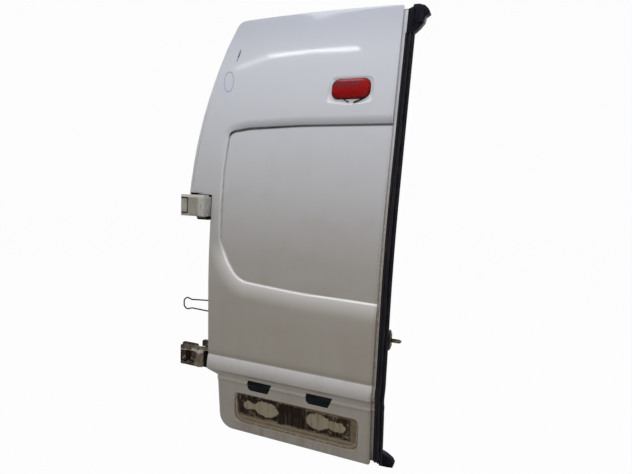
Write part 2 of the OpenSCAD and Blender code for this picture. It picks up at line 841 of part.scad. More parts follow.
// Locking gear inside the free edge: a lever, and rods to a latch at the top and one at the bottom
gear_x = reach - 30;
latch_h = 90;
latch_w = 56;
upper_latch_z = height - 96;
lower_latch_z = 84;
gear_gap = 11;
module latch(mid_z, s) {
    seat = lean_y(mid_z + latch_h / 2) + depth + air;
    translate([gear_x, seat, mid_z])
        difference() {
            translate([-latch_w / 2, 0, -latch_h / 2])
                cube([latch_w, 24, latch_h]);
            translate([-7, 6, s * latch_h / 2 - (s > 0 ? 30 : 0)])
                cube([14, 30, 30]);
            translate([0, gear_gap, -s * (latch_h / 2)])
                cylinder(h = 20, r = rod_r + 2, center = true, $fn = 24);
        }
}
module upper_latch() color("#5b5a57") place() latch(upper_latch_z, 1);
module lower_latch() color("#5b5a57") place() latch(lower_latch_z, -1);

// Y of the rod's middle where it enters a latch
function rod_y(mid_z) = lean_y(mid_z + latch_h / 2) + depth + air + gear_gap;
lever_h = 120;
lever_seat = lean_y(lever_z + lever_h / 2) + depth + air;
module rod(z, latch_end_z, latch_mid_z) {
    run = [rod_y(latch_mid_z) - lever_seat - gear_gap, latch_end_z - z];
    translate([gear_x, lever_seat + gear_gap, z])
        rotate([-atan2(run[0], run[1]), 0, 0])
            cylinder(h = norm(run), r = rod_r, $fn = 24);
}
module upper_rod() color("#8b8983") place()
    rod(lever_z + lever_h / 2 + 1, upper_latch_z - latch_h / 2 + 8, upper_latch_z);
module lower_rod() color("#8b8983") place()
    rod(lever_z - lever_h / 2 - 1, lower_latch_z + latch_h / 2 - 8, lower_latch_z);
module release_lever() color("#1c1c1d") place()
    translate([gear_x, lever_seat, lever_z])
        difference() {
            rotate([90, 0, 90])
                linear_extrude(44, center = true)
                    polygon(rounded([
                        [0, -lever_h / 2, 2], [26, -lever_h / 2, 10], [20, lever_h / 2 - 20, 12],
                        [20, lever_h / 2, 4], [0, lever_h / 2, 2]
                    ]));
            translate([-12, 12, -lever_h / 2 + 14])
                cube([24, 30, lever_h - 44]);
        }

upper_frame_leaf();
upper_hinge_pin();
lower_frame_leaf();
lower_hinge_pin();
upper_hinge_arm();
lower_hinge_arm();
lower_hinge_packing();
lower_stop_block();
outer_skin();
inner_panel();
step_flange();
brake_lamp_base();
brake_lamp_lens();
plate_lamp_body_left();
plate_lamp_lens_left();
plate_lamp_body_right();
plate_lamp_lens_right();
centre_seal();
seal_top_end();
seal_foot();
striker_block();
striker_plate();
striker_loop();
loop_bracket();
check_loop();
release_lever();
upper_rod();
lower_rod();
upper_latch();
lower_latch();
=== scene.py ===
import json
import math

import bpy
import numpy as np
from mathutils import Matrix, Vector

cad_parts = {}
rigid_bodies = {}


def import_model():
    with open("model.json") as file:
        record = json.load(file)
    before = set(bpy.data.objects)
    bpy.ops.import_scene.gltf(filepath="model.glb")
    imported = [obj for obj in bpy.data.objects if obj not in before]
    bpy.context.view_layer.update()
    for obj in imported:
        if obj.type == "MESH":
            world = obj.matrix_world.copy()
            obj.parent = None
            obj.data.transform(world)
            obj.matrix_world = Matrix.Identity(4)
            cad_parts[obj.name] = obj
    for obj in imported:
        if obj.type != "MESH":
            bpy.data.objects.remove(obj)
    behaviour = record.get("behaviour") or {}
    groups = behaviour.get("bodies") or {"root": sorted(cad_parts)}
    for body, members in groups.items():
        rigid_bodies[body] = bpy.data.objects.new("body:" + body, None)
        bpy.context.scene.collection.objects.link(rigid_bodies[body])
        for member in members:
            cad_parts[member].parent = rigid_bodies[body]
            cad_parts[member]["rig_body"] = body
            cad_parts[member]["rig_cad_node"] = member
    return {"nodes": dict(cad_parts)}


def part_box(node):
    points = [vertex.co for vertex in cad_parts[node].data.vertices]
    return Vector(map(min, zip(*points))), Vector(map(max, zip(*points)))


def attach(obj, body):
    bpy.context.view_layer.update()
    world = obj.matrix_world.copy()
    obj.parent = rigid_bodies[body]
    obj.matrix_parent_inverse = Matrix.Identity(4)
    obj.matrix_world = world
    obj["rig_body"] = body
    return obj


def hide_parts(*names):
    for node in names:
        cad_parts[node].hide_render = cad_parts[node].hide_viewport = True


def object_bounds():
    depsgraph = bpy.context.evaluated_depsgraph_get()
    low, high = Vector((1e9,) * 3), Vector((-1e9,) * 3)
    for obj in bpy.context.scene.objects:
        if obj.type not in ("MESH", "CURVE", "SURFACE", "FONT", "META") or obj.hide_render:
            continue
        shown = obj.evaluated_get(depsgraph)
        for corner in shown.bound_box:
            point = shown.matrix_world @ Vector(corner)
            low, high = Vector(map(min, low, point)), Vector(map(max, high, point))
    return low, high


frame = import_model()
cad_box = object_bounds()
scene = bpy.context.scene

# Camera: it stands where the photograph was taken, in front of the free edge and a little above
# the middle of the door, and is tilted down. Found from the door's own straight edges.
photo_w = 632
focal_px = 490
yaw, pitch, roll = (math.radians(angle) for angle in (23.17, 6.23, 1.95))
lens = bpy.data.cameras.new("photo_camera")
lens.lens = lens.sensor_width * focal_px / photo_w
camera = bpy.data.objects.new("photo_camera", lens)
scene.collection.objects.link(camera)
camera_place = (1.352, -1.766, 0.110)
camera.matrix_world = (
    Matrix.Translation(camera_place)
    @ Matrix.Rotation(yaw, 4, "Z")
    @ Matrix.Rotation(math.pi / 2 - pitch, 4, "X")
    @ Matrix.Rotation(roll, 4, "Z")
)
scene.camera = camera
scene.view_settings.view_transform = "Standard"


# Stage: a pale floor under the hanging door and a white room, as in a studio cut-out.
# The floor keeps a faint shadow, and the lamps are large and soft with three narrow tubes.
class Wire:
    """One socket of a material. Arithmetic on it adds Math nodes."""

    def __init__(self, tree, socket=None):
        self.tree = tree
        self.socket = socket

    def node(self, kind, values=(), output=0, **settings):
        """A new node of that kind, fed with values or wires, as a wire from one of its outputs."""
        made = self.tree.nodes.new("ShaderNode" + kind)
        for name, value in settings.items():
            setattr(made, name, value)
        for place, value in dict(values).items():
            if isinstance(value, Wire):
                self.tree.links.new(value.socket, made.inputs[place])
            else:
                made.inputs[place].default_value = value
        return Wire(self.tree, made.outputs[output] if made.outputs else None)

    def math(self, operation, *values):
        return self.node("Math", enumerate(values), operation=operation)

    def __add__(self, other):
        return self.math("ADD", self, other)

    def __sub__(self, other):
        return self.math("SUBTRACT", self, other)

    def __rsub__(self, other):
        return self.math("SUBTRACT", other, self)

    def __mul__(self, other):
        return self.math("MULTIPLY", self, other)

    def __truediv__(self, other):
        return self.math("DIVIDE", self, other)

    def __pow__(self, other):
        return self.math("POWER", self, other)

    def either(self, other):
        return self.math("MAXIMUM", self, other)

    def rise(self, low, high):
        """0 below low, 1 above high, smooth between. Falls where low is the higher of the two."""
        if low > high:
            return 1 - self.rise(high, low)
        return self.node("MapRange", {0: self, 1: low, 2: high}, interpolation_type="SMOOTHSTEP")

    def band(self, low, high, soft):
        """1 between low and high, and 0 beyond, with borders of that softness."""
        return self.rise(low - soft, low + soft) * self.rise(high + soft, high - soft)

    def mix(self, first, second):
        """The first colour where this is 0, and the second where it is 1."""
        return self.node("Mix", {0: self, 6: first, 7: second}, output=2, data_type="RGBA")

    __radd__ = __add__
    __rmul__ = __mul__


def background(name, shade):
    """Matt where light falls on it, and white of that shade where the camera sees it."""
    made = bpy.data.materials.new(name)
    made.use_nodes = True
    nodes = made.node_tree.nodes
    nodes.clear()
    start = Wire(made.node_tree)
    matt = start.node("BsdfDiffuse", {"Color": (0.36, 0.35, 0.34, 1)})
    white = start.node("Emission", {"Color": (1, 1, 1, 1), "Strength": 1})
    rays = start.node("LightPath").socket.node.outputs
    seen = Wire(made.node_tree, rays["Is Camera Ray"]) * shade
    seen = seen + Wire(made.node_tree, rays["Is Glossy Ray"]) * 0.4
    seen = seen + Wire(made.node_tree, rays["Is Transmission Ray"])
    mixed = start.node("MixShader", {0: seen, 1: matt, 2: white})
    start.node("OutputMaterial", {0: mixed})
    return made


floor_gap = 0.003
bpy.ops.object.select_all(action="DESELECT")
bpy.ops.mesh.primitive_plane_add(size=30, location=(0, 0, cad_box[0][2] - floor_gap))
floor = bpy.context.object
floor.name = "floor"
floor.data.materials.append(background("floor_white", 0.975))

world = bpy.data.worlds.new("white_room")
world.use_nodes = True
world.node_tree.nodes.clear()
room = Wire(world.node_tree)
rays = room.node("LightPath").socket.node.outputs
seen = Wire(world.node_tree, rays["Is Camera Ray"])
seen = seen.either(Wire(world.node_tree, rays["Is Transmission Ray"]))
facing = room.node("SeparateXYZ", {0: room.node("TexCoord", output=0)}, output=2)
dim = room.node("Background", {0: (0.93, 0.96, 1, 1), 1: 0.16 + facing.rise(-0.3, 0.9) * 0.34})
white = room.node("Background", {0: (0.98, 0.98, 0.98, 1), 1: 1})
room.node("OutputWorld", {0: room.node("MixShader", {0: seen, 1: dim, 2: white})})
scene.world = world


def lamp(name, place, target, size, power, colour, turn=None):
    """A soft lamp turned to the target, or one that hangs level, turned that far about Z."""
    light = bpy.data.lights.new(name, "AREA")
    light.shape = "RECTANGLE"
    light.size, light.size_y = size
    light.energy = power
    light.color = colour
    hung = bpy.data.objects.new(name, light)
    hung.location = place
    hung.rotation_euler = (Vector(target) - Vector(place)).to_track_quat("-Z", "Y").to_euler()
    if turn is not None:
        hung.rotation_euler = (0, 0, math.radians(turn))
    scene.collection.objects.link(hung)


lamp("ceiling", (0.7, -1.0, 2.8), (0.45, 0, 0.1), (3.0, 1.1), 42, (0.95, 0.97, 1))
lamp("front", (1.4, -3.4, 0.9), (0.45, 0, -0.1), (2.4, 2.0), 36, (1, 0.97, 0.93))
lamp("tube_left", (-1.36, -2.01, 2.2), (0, 0, 0), (0.50, 0.06), 0.45, (0.97, 0.98, 1), turn=20)
lamp("tube_middle", (-0.83, -1.895, 2.2), (0, 0, 0), (0.54, 0.05), 1.35, (0.97, 0.98, 1), turn=3)
lamp("tube_right", (-0.33, -1.905, 2.2), (0, 0, 0), (0.44, 0.05), 1.15, (0.97, 0.98, 1), turn=-5)
lamp("behind", (1.2, 2.8, 1.2), (0.45, 0, 0), (2.4, 2.0), 40, (1, 1, 1))


# Outer skin: one pressing of thin steel in silver-white car paint that has stood outside for years.
# The window panel is pressed in and runs out through the free edge, the ledge overhangs the plate
# recess, and the skin leans back over the waist. Its edge is folded round the inner panel.
# Lengths are millimetres: x from the hinges' axis, y from the skin's waist, z from the bottom edge.
axis_y, axis_z = 44, 957


def metres(x, y, z):
    """A place in the door's own millimetres, in the frame's metres."""
    return (x / 1000, (y - axis_y) / 1000, (z - axis_z) / 1000)


reach, height, flank_top = 868, 1764, 1639
crown_r, edge_r = 9000, 3.2
skin_t, step_deep = 1.1, 16
waist_z, bend_len = 600, 450
low_lean, top_lean = 0.036, 0.19
low_out, bead_z, bead_h, bead_out = 12, 216, 16, 5
ledge_out, nose_z, ledge_top, ledge_low = 22, 264, 319, 250
flare_x, flare_r, flare_z = -15, 1650, 1060
notch_x, notch_z = 104, 1002.5


def lean(z):
    """Y of the side shape: nearly upright to the waist, bent over bend_len, and straight above."""
    bend = np.clip(z - waist_z, 0, bend_len)
    bent = (top_lean - low_lean) * bend**2 / (2 * bend_len)
    rise = np.minimum(z - waist_z, bend_len) * low_lean + bent
    return rise + top_lean * np.maximum(z - waist_z - bend_len, 0)


def smooth(t):
    """0 below 0, 1 above 1 and smooth between."""
    t = np.clip(t, 0, 1)
    return t * t * (3 - 2 * t)


def face(z):
    """Y of the plain skin, with the lower panel, its bead and the overhanging ledge."""
    lower = -low_out * np.clip(z, -40, bead_z) / bead_z
    bead = -bead_out * np.sin(np.pi * np.clip((z - bead_z) / bead_h, 0, 1))
    nose = low_out - ledge_out
    nose = nose * np.sin(np.pi / 2 * np.clip((z - ledge_low) / (nose_z - ledge_low), 0, 1))
    roof_y = lean(ledge_top)
    turn = np.cos(np.pi / 2 * np.clip((z - nose_z) / (ledge_top - nose_z), 0, 1))
    roof = roof_y + (-ledge_out - roof_y) * turn
    return np.where(z < nose_z, lower + bead + nose, np.where(z < ledge_top, roof, lean(z)))


def arcs(path, count=6):
    """An outline through corners (x, z, radius), counter-clockwise from outside, with arcs."""
    points = []
    for i, (x, z, radius) in enumerate(path):
        corner = np.array([x, z], float)
        back = np.array(path[i - 1][:2], float) - corner
        on = np.array(path[(i + 1) % len(path)][:2], float) - corner
        back /= np.linalg.norm(back)
        on /= np.linalg.norm(on)
        half = math.acos(np.clip(back @ on, -1, 1)) / 2
        if radius == 0 or half > 1.56:
            points.append(corner)
            continue
        middle = corner + (back + on) / np.linalg.norm(back + on) * radius / math.sin(half)
        start = corner + back * radius / math.tan(half) - middle
        end = corner + on * radius / math.tan(half) - middle
        turn = math.atan2(start[0] * end[1] - start[1] * end[0], start @ end)
        for k in range(count + 1):
            c, s = math.cos(turn * k / count), math.sin(turn * k / count)
            spoke = [start[0] * c - start[1] * s, start[0] * s + start[1] * c]
            points.append(middle + np.array(spoke))
    return np.array(points)


def away(points, path):
    """How far inside an outline each point lies, in millimetres, and below 0 outside it."""
    near = np.full(len(points), np.inf)
    inside = np.zeros(len(points), bool)
    for a, b in zip(path, np.roll(path, -1, axis=0)):
        run = b - a
        share = np.clip(((points - a) @ run) / max(run @ run, 1e-9), 0, 1)
        near = np.minimum(near, np.linalg.norm(points - a - share[:, None] * run, axis=1))
        if a[1] != b[1]:
            crosses = (a[1] > points[:, 1]) != (b[1] > points[:, 1])
            inside ^= crosses & (points[:, 0] < run[0] * (points[:, 1] - a[1]) / run[1] + a[0])
    return np.where(inside, near, -near)


def top(x):
    """Z of the door's crowned upper edge."""
    return height - (x - reach / 2) ** 2 / (2 * crown_r)


def flare(z):
    """X of the hinge side, which curves in over the upper hinge."""
    return flare_x + flare_r - math.sqrt(flare_r**2 - max(0, z - flare_z) ** 2)


def door_path():
    """The door's corners from the foot of the free edge on, counter-clockwise from outside."""
    left = flare(height)
    crown = np.linspace(reach, left, 9)[:-1]
    flank = np.linspace(flank_top, flare_z, 9)[:-1]
    return [
        (reach, 0, 6), (reach, top(reach), 8),
        *((x, top(x), 0) for x in crown if x < reach - 8),
        (left, top(left), 50),
        *((flare(z), z, 0) for z in flank),
        (flare_x, flare_z, 0), (flare_x, notch_z, 6), (notch_x, notch_z, 7),
        (128, ledge_top, 0), (130, ledge_low, 10), (182, 236, 10), (190, 0, 62),
    ]


def blank(name, outline, rows, columns, rims=()):
    """A flat sheet with that outline, with rims beside its edge, cut into rows and columns."""
    bpy.ops.object.select_all(action="DESELECT")
    bpy.ops.mesh.primitive_circle_add(vertices=len(outline), fill_type="NGON")
    sheet = bpy.context.object
    sheet.name = sheet.data.name = name
    for vertex, (x, z) in zip(sheet.data.vertices, outline):
        vertex.co = metres(x, axis_y, z)
    sheet.data.update()
    bpy.ops.object.mode_set(mode="EDIT")
    bpy.ops.mesh.select_all(action="SELECT")
    if sheet.data.polygons[0].normal.y > 0:
        bpy.ops.mesh.flip_normals()
    for rim in rims:
        bpy.ops.mesh.inset(thickness=rim / 1000)
    for normal, levels in (((0, 0, 1), rows), ((1, 0, 0), columns)):
        for level in levels:
            bpy.ops.mesh.select_all(action="SELECT")
            bpy.ops.mesh.bisect(plane_co=metres(level, axis_y, level), plane_no=normal)
    bpy.ops.object.mode_set(mode="OBJECT")
    return sheet


def cuts(*spans):
    """Places along spans of (low, high, step), moved off round numbers, where the corners lie."""
    off = 0.37
    return [float(value) + off for low, high, step in spans for value in np.arange(low, high, step)]


def flat_places(sheet):
    """Where the sheet's vertices are, in the door's own millimetres."""
    co = np.empty(len(sheet.data.vertices) * 3)
    sheet.data.vertices.foreach_get("co", co)
    return co.reshape(-1, 3) * 1000 + (0, axis_y, axis_z)


def press(sheet, co):
    """Puts the sheet's vertices at those places."""
    sheet.data.vertices.foreach_set("co", ((co - (0, axis_y, axis_z)) / 1000).ravel())
    sheet.data.update()


def rolled(inside, radius):
    """How far an edge of that radius has rolled back, at each distance inside the outline."""
    short = np.clip(radius - inside, 0, radius)
    return radius - np.sqrt(np.maximum(radius**2 - short**2, 0))


def choose(piece):
    """Makes the piece the active one, and the only one that is selected."""
    bpy.ops.object.select_all(action="DESELECT")
    piece.select_set(True)
    bpy.context.view_layer.objects.active = piece


def edge_walls(sheet, far):
    """Turns the sheet's open edge back to the depth that far(x, z) gives."""
    choose(sheet)
    bpy.ops.object.mode_set(mode="EDIT")
    bpy.ops.mesh.select_mode(type="EDGE")
    bpy.ops.mesh.select_all(action="DESELECT")
    bpy.ops.mesh.select_non_manifold()
    bpy.ops.mesh.extrude_region_move()
    bpy.ops.object.mode_set(mode="OBJECT")
    co = flat_places(sheet)
    chosen = np.array([vertex.select for vertex in sheet.data.vertices])
    co[chosen, 1] = far(co[chosen, 0], co[chosen, 2])
    press(sheet, co)
    bpy.ops.object.mode_set(mode="EDIT")
    bpy.ops.mesh.select_mode(type="VERT")
    bpy.ops.object.mode_set(mode="OBJECT")


def modify(piece, kind, **settings):
    """Gives the piece a modifier with those settings and applies it."""
    bpy.context.view_layer.objects.active = piece
    added = piece.modifiers.new(kind.lower(), kind)
    for name, value in settings.items():
        setattr(added, name, value)
    bpy.ops.object.modifier_apply(modifier=added.name)


def finish(piece, body, slot, made, *nodes, angle=35):
    """Smooth shading, the material, and what the piece rides on and stands for."""
    choose(piece)
    bpy.ops.object.shade_smooth_by_angle(angle=math.radians(angle))
    piece.data.materials.clear()
    piece.data.materials.append(made)
    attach(piece, body)
    if nodes:
        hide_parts(*nodes)
    return piece


def rgb(red, green, blue):
    """A colour as the photograph shows it, 0 to 255, as the shader's own values."""
    parts = (red, green, blue)
    return [*(((c / 255 + 0.055) / 1.055) ** 2.4 if c > 10 else c / 3294 for c in parts), 1]


def material(name, **uniform):
    """A new material, its shader, and wires of the object's coordinates, whole and one by one."""
    made = bpy.data.materials.new(name)
    made.use_nodes = True
    shader = made.node_tree.nodes["Principled BSDF"]
    for place, value in uniform.items():
        shader.inputs[place.replace("_", " ")].default_value = value
    here = Wire(made.node_tree).node("TexCoord", output=3)
    apart = here.node("SeparateXYZ", {0: here}).socket.node.outputs
    return made, shader, here, *(Wire(here.tree, axis) for axis in apart)


def feed(shader, **values):
    """Leads wires to the shader's sockets."""
    for place, wire in values.items():
        wire.tree.links.new(wire.socket, shader.inputs[place.replace("_", " ")])


def stretched(here, x, y, z):
    """Coordinates for noise that is finer along one axis than along another."""
    return here.node("VectorMath", {0: here, 1: (x, y, z)}, operation="MULTIPLY")


def noise(here, scale, detail=4, rough=0.6, bend=0):
    values = {"Vector": here, "Scale": scale, "Detail": detail}
    return here.node("TexNoise", {**values, "Roughness": rough, "Distortion": bend})


def bump(relief, distance, strength=1):
    return relief.node("Bump", {"Height": relief, "Distance": distance, "Strength": strength})


def ellipse(u, v, middle, size):
    """Below 1 inside an ellipse with that middle and those half sizes."""
    du = (u - middle[0]) / size[0]
    dv = (v - middle[1]) / size[1]
    return du * du + dv * dv


def streaks(here, across, along, detail=3):
    """Noise drawn out downwards, as rain leaves dirt."""
    return noise(stretched(here, across, across, along), 1, detail)


plate_x, plate_z = 0.542, -0.849
plate_half_w, plate_half_h = 0.278, 0.067
ledge_edge = -0.6385


def body_paint():
    made, shader, here, x, _, z = material(
        "body_paint", IOR=1.45, Specular_IOR_Level=0.12, Coat_Roughness=0.06)
    cool = rgb(208, 210, 217)
    warm = rgb(158, 151, 141)
    # Colour changes with height: lighter and cooler above, darker and browner towards the bottom,
    # partly dirt and partly painted light from above; a darker, bluer grey towards the top edge.
    colour = z.rise(0.62, -0.55).mix(cool, warm)
    colour = (z.rise(0.60, 0.80) * 0.55).mix(colour, rgb(176, 180, 192))

    # painted highlight on the ledge, where it faces up to the light, and painted shade on its
    # lower, downward-turned part; dirt gathers over its upper edge
    ledge = z.band(-0.6935, ledge_edge, 0.003)
    colour = (ledge * 0.85).mix(colour, rgb(207, 204, 204))
    colour = (ledge * z.rise(-0.643, -0.690) * 0.55).mix(colour, rgb(138, 132, 125))
    gathered = z.band(ledge_edge, -0.595, 0.001) * (1 - z.rise(ledge_edge, -0.600))
    colour = (gathered * 0.15).mix(colour, rgb(104, 94, 80))

    # thin dust over all of it, and runs down the lower half
    dust = noise(here, 9, 5, 0.65).rise(0.42, 0.75) * z.rise(0.75, -0.7)
    colour = (dust * 0.22).mix(colour, rgb(140, 130, 115))
    runs = streaks(here, 46, 2.2).rise(0.50, 0.78) * z.rise(0.0, -0.8)
    colour = (runs * 0.10).mix(colour, rgb(122, 110, 92))
    specks = noise(here, 420, 2, 0.5).rise(0.66, 0.80)
    colour = (specks * 0.25 * z.rise(0.6, -0.6)).mix(colour, rgb(96, 84, 68))

    # painted highlight along the edge under the window panel and on the lamp pocket's lower part,
    # painted shade on the roll above the panel, and dark dirt with painted shade in the panel's
    # groove
    painted_highlight, groove, painted_roll_shade = (
        here.node("Attribute", output=2, attribute_name=name)
        for name in ("painted_highlight", "groove", "painted_roll_shade"))
    colour = painted_highlight.mix(colour, rgb(249, 246, 245))
    colour = (painted_roll_shade * 0.42).mix(colour, rgb(92, 95, 104))
    grime = groove * (0.86 + noise(here, 20, 4).rise(0.30, 0.62) * x.rise(0.9, 0.15) * 0.14)
    colour = grime.mix(colour, rgb(30, 23, 13))

    # the free edge and its hem
    edge = x.rise(0.850, 0.8665) * (0.45 + noise(here, 150, 5, 0.7).rise(0.40, 0.62) * 0.55)
    edge = edge * z.rise(0.80, 0.0)
    colour = (edge * 0.25).mix(colour, rgb(104, 92, 80))

    # brown wash in the lower border of the plate recess and faintly under it
    u = (x - plate_x) / plate_half_w
    v = (z - plate_z) / plate_half_h
    rounds = (u * u) ** 10 + (v * v) ** 2
    recess = rounds.rise(1.08, 0.96)
    colour = (recess * 0.75).mix(colour, rgb(134, 124, 104))
    wash = v.band(-0.98, -0.60, 0.10) * u.band(-0.97, 0.99, 0.03)
    wash = wash * noise(here, 30, 5, 0.7).rise(0.15, 0.60)
    colour = (wash * 0.60).mix(colour, rgb(112, 95, 72))
    # Dark lines, partly dirt and partly painted shade, and a pale line of painted highlight follow
    # the recess's rounded border, but not its top under the ledge.
    open_side = v.rise(0.80, 0.30)
    lines = rounds.band(0.656, 0.885, 0.06).either(rounds.band(0.24, 0.30, 0.03)) * open_side
    colour = (lines * noise(here, 45, 4).rise(0.35, 0.55) * 0.55).mix(colour, rgb(58, 42, 28))
    pale_line = rounds.band(0.52, 0.656, 0.05) * open_side
    colour = (pale_line * 0.45).mix(colour, rgb(188, 180, 164))
    under = v.band(-1.62, -1.0, 0.12) * u.band(-0.98, 0.80, 0.15)
    under = under * streaks(here, 55, 6).rise(0.30, 0.80)
    colour = (under * 0.42).mix(colour, rgb(104, 92, 70))

    # old adhesive and dirt inside it: two pale groups of ovals between dark frames
    w = (v - 0.20) / 0.78
    un = u + (noise(here, 20, 5, 0.7) - 0.5) * 0.16 + (noise(here, 105, 4, 0.7) - 0.5) * 0.06
    wn = w + (noise(here, 26, 5, 0.75) - 0.5) * 0.62 + (noise(here, 90, 4, 0.7) - 0.5) * 0.34
    field = u.band(-0.965, 0.975, 0.012) * w.band(-0.96, 0.97, 0.05)
    tan = noise(here, 16, 6, 0.7).rise(0.25, 0.75)
    colour = (field * (0.35 + tan * 0.6)).mix(colour, rgb(94, 74, 48))
    pale, halo = None, None
    for middle, half in (
        ((-0.46, 0.02), (0.20, 0.62)), ((-0.75, 0.05), (0.085, 0.36)),
        ((-0.60, 0.05), (0.10, 0.26)), ((0.39, 0.05), (0.19, 0.66)), ((0.66, 0.0), (0.15, 0.40)),
    ):
        oval = ellipse(un, wn, middle, half)
        inside, around = oval.rise(1.15, 0.85), oval.rise(2.0, 1.4)
        pale = pale.either(inside) if pale else inside
        halo = halo.either(around) if halo else around
    ribs = noise(stretched(here, 60, 10, 6), 1, 5, 0.6).rise(0.30, 0.40)
    centre = un.band(-0.27, 0.20, 0.03) * (0.45 + ribs * 0.55) * wn.band(-0.86, 0.90, 0.08)
    left_frame = un.band(-0.93, -0.24, 0.02) * wn.band(-0.80, 0.90, 0.08)
    right_frame = un.band(0.20, 0.86, 0.02) * wn.band(-0.86, 0.78, 0.08)
    patchy = noise(here, 24, 6, 0.72).rise(0.41, 0.47)
    patchy = patchy.either(halo * noise(here, 40, 5, 0.7).rise(0.38, 0.44))
    frames = left_frame.either(right_frame) * (1 - pale) * patchy
    edges = un.band(0.845, 0.885, 0.01) * wn.band(-0.9, 0.8, 0.05)
    edges = edges.either(un.band(-0.95, -0.90, 0.01) * wn.band(-0.8, 0.95, 0.05))
    glue = centre.either(frames).either(edges * 0.8) * field
    glue = glue * (0.80 + noise(stretched(here, 120, 10, 14), 1, 3, 0.6).rise(0.35, 0.55) * 0.20)
    colour = (glue * 0.99).mix(colour, rgb(27, 14, 9))
    runs_in = noise(stretched(here, 75, 10, 5), 1, 4, 0.6).rise(0.48, 0.68)
    ovals = pale * field * (0.80 - runs_in * 0.60)
    colour = (ovals * 0.88).mix(colour, rgb(163, 153, 131))

    # marks: a thin pen ring and a dark scuff near the flank, and faint scratches above the panel
    ring = ellipse(x - (z - 0.536) * -0.08, z, (0.121, 0.536), (0.024, 0.044)) ** 0.5
    ring = ring.band(0.965, 1.035, 0.015)
    colour = (ring * 0.85).mix(colour, rgb(58, 86, 168))
    scuff = ellipse(x - (z - 0.650) * 0.27, z, (0.1565, 0.650), (0.0045, 0.027)).rise(1.3, 0.7)
    colour = (scuff * noise(here, 130, 3).rise(0.35, 0.5) * 0.8).mix(colour, rgb(52, 50, 56))
    slanted = here.node("Mapping", {0: here, 2: (0, 0.62, 0)})
    hairs = noise(stretched(slanted, 210, 1, 4), 1, 2).rise(0.70, 0.76)
    worn = ellipse(x, z, (0.55, 0.62), (0.22, 0.11)).rise(1, 0.3)
    colour = (hairs * worn * 0.5).mix(colour, rgb(235, 235, 238))
    roughness = 0.34 + dust * 0.20 + runs * 0.15 + hairs * worn * 0.2
    roughness = (glue.either(wash * 0.6) * 0.35 + roughness).either(edge * 0.6)
    orange_peel = noise(here, 260, 2, 0.4) * 0.4 + glue * 1.5 + noise(here, 1400, 2) * 0.1
    coat = (1 - recess * 0.9) * (1 - edge * 0.7) * 0.9 * (1 - dust * 0.4)
    feed(shader, Base_Color=colour, Roughness=roughness, Coat_Weight=coat,
         Normal=bump(orange_peel, 0.00025, 0.35))
    return made


skin_outline = arcs(door_path())
panel_outline = arcs([
    (1000, 622.5, 0), (1000, 1299, 0), (482, 1298.5, 1500), (250, 1290, 300), (148, 1275, 36),
    (144, 1095, 400), (162, 813, 150), (202, 727, 250), (262, 649.5, 110), (543, 630, 900),
])
plate_outline = arcs([(820, 41, 20), (820, 175, 20), (264, 175, 20), (264, 41, 20)])
pocket_outline = arcs([
    (780, 1386, 16), (778, 1484, 26), (600, 1484, 26), (588, 1388, 16), (688, 1376, 220),
])
lamp_outlines = [
    arcs([(x + 37, 195, 4), (x + 57, 237, 3), (x - 57, 237, 3), (x - 57, 205, 3), (x - 45, 195, 3)])
    for x in (388, 656)
]
panel_deep, plate_deep, pocket_deep, window_deep = 9, 7, 4.5, 1.9


def skin_depth(x, z):
    """How far the skin is pressed in or crowned at each place, to be added to its plain face."""
    spots = np.column_stack((x, z))
    panel = away(spots, panel_outline)
    upper = smooth((z - 1180) / 90)
    low = smooth((860 - z) / 120)
    pressed = 2.4 * smooth(1 + panel / 9) ** 2 * (1 - upper) * (1 - low)
    pressed = pressed + 3.4 * np.clip(1 + panel / 74, 0, 1) ** 2.4 * low
    pressed = pressed + 7.4 * np.clip(1 + panel / 36, 0, 1) ** 1.6 * upper
    wall = (panel_deep + low - pressed) * smooth(panel / (6 - 3 * upper))
    pressed = np.where(panel > 0, pressed + wall, pressed)
    plate = away(spots, plate_outline)
    pressed = pressed + plate_deep * smooth((plate + 1) / 7) - 0.9 * smooth(1 - abs(plate + 3) / 5)
    pressed = pressed + pocket_deep * smooth((away(spots, pocket_outline) + 1) / 7)
    for outline in lamp_outlines:
        pressed = pressed + window_deep * smooth((away(spots, outline) + 0.8) / 1.6)
    crown = 2.5 * (1 - ((x - 430) / 450) ** 2) * smooth((z - 1310) / 60)
    crown = crown * (1 - ((z - 1535) / 235) ** 2)
    flank = 5 * smooth((150 - x) / 190) ** 1.5 * smooth((z - 960) / 90)
    crease = 2.4 * np.exp(-((z - 321) / 5) ** 2)
    return pressed - np.maximum(crown, 0) + crease + flank, panel


rows = cuts(
    (0, 30, 8), (30, 50, 3), (50, 160, 14), (160, 182, 3), (182, 245, 3), (245, 325, 3.5),
    (325, 612, 16), (612, 700, 3), (700, 830, 6), (830, 1230, 16), (1230, 1250, 6),
    (1250, 1340, 2.4), (1340, 1370, 8), (1370, 1395, 3), (1395, 1475, 9), (1475, 1495, 4),
    (1495, 1770, 14),
)
columns = cuts(
    (-16, 135, 10), (135, 290, 3.6), (290, 325, 9), (325, 350, 3), (350, 420, 14), (420, 450, 3),
    (450, 594, 14), (594, 620, 3), (620, 690, 14), (690, 716, 3), (716, 770, 12), (770, 830, 3),
    (830, 866, 7),
)
skin = blank("door_skin", skin_outline, rows, columns, rims=(0.5, 0.7, 1.0, 1.3))
co = flat_places(skin)
inside = away(co[:, [0, 2]], skin_outline)
pressed, panel = skin_depth(co[:, 0], co[:, 2])
co[:, 1] = face(co[:, 2]) + pressed + rolled(np.maximum(inside, 0), edge_r)
press(skin, co)
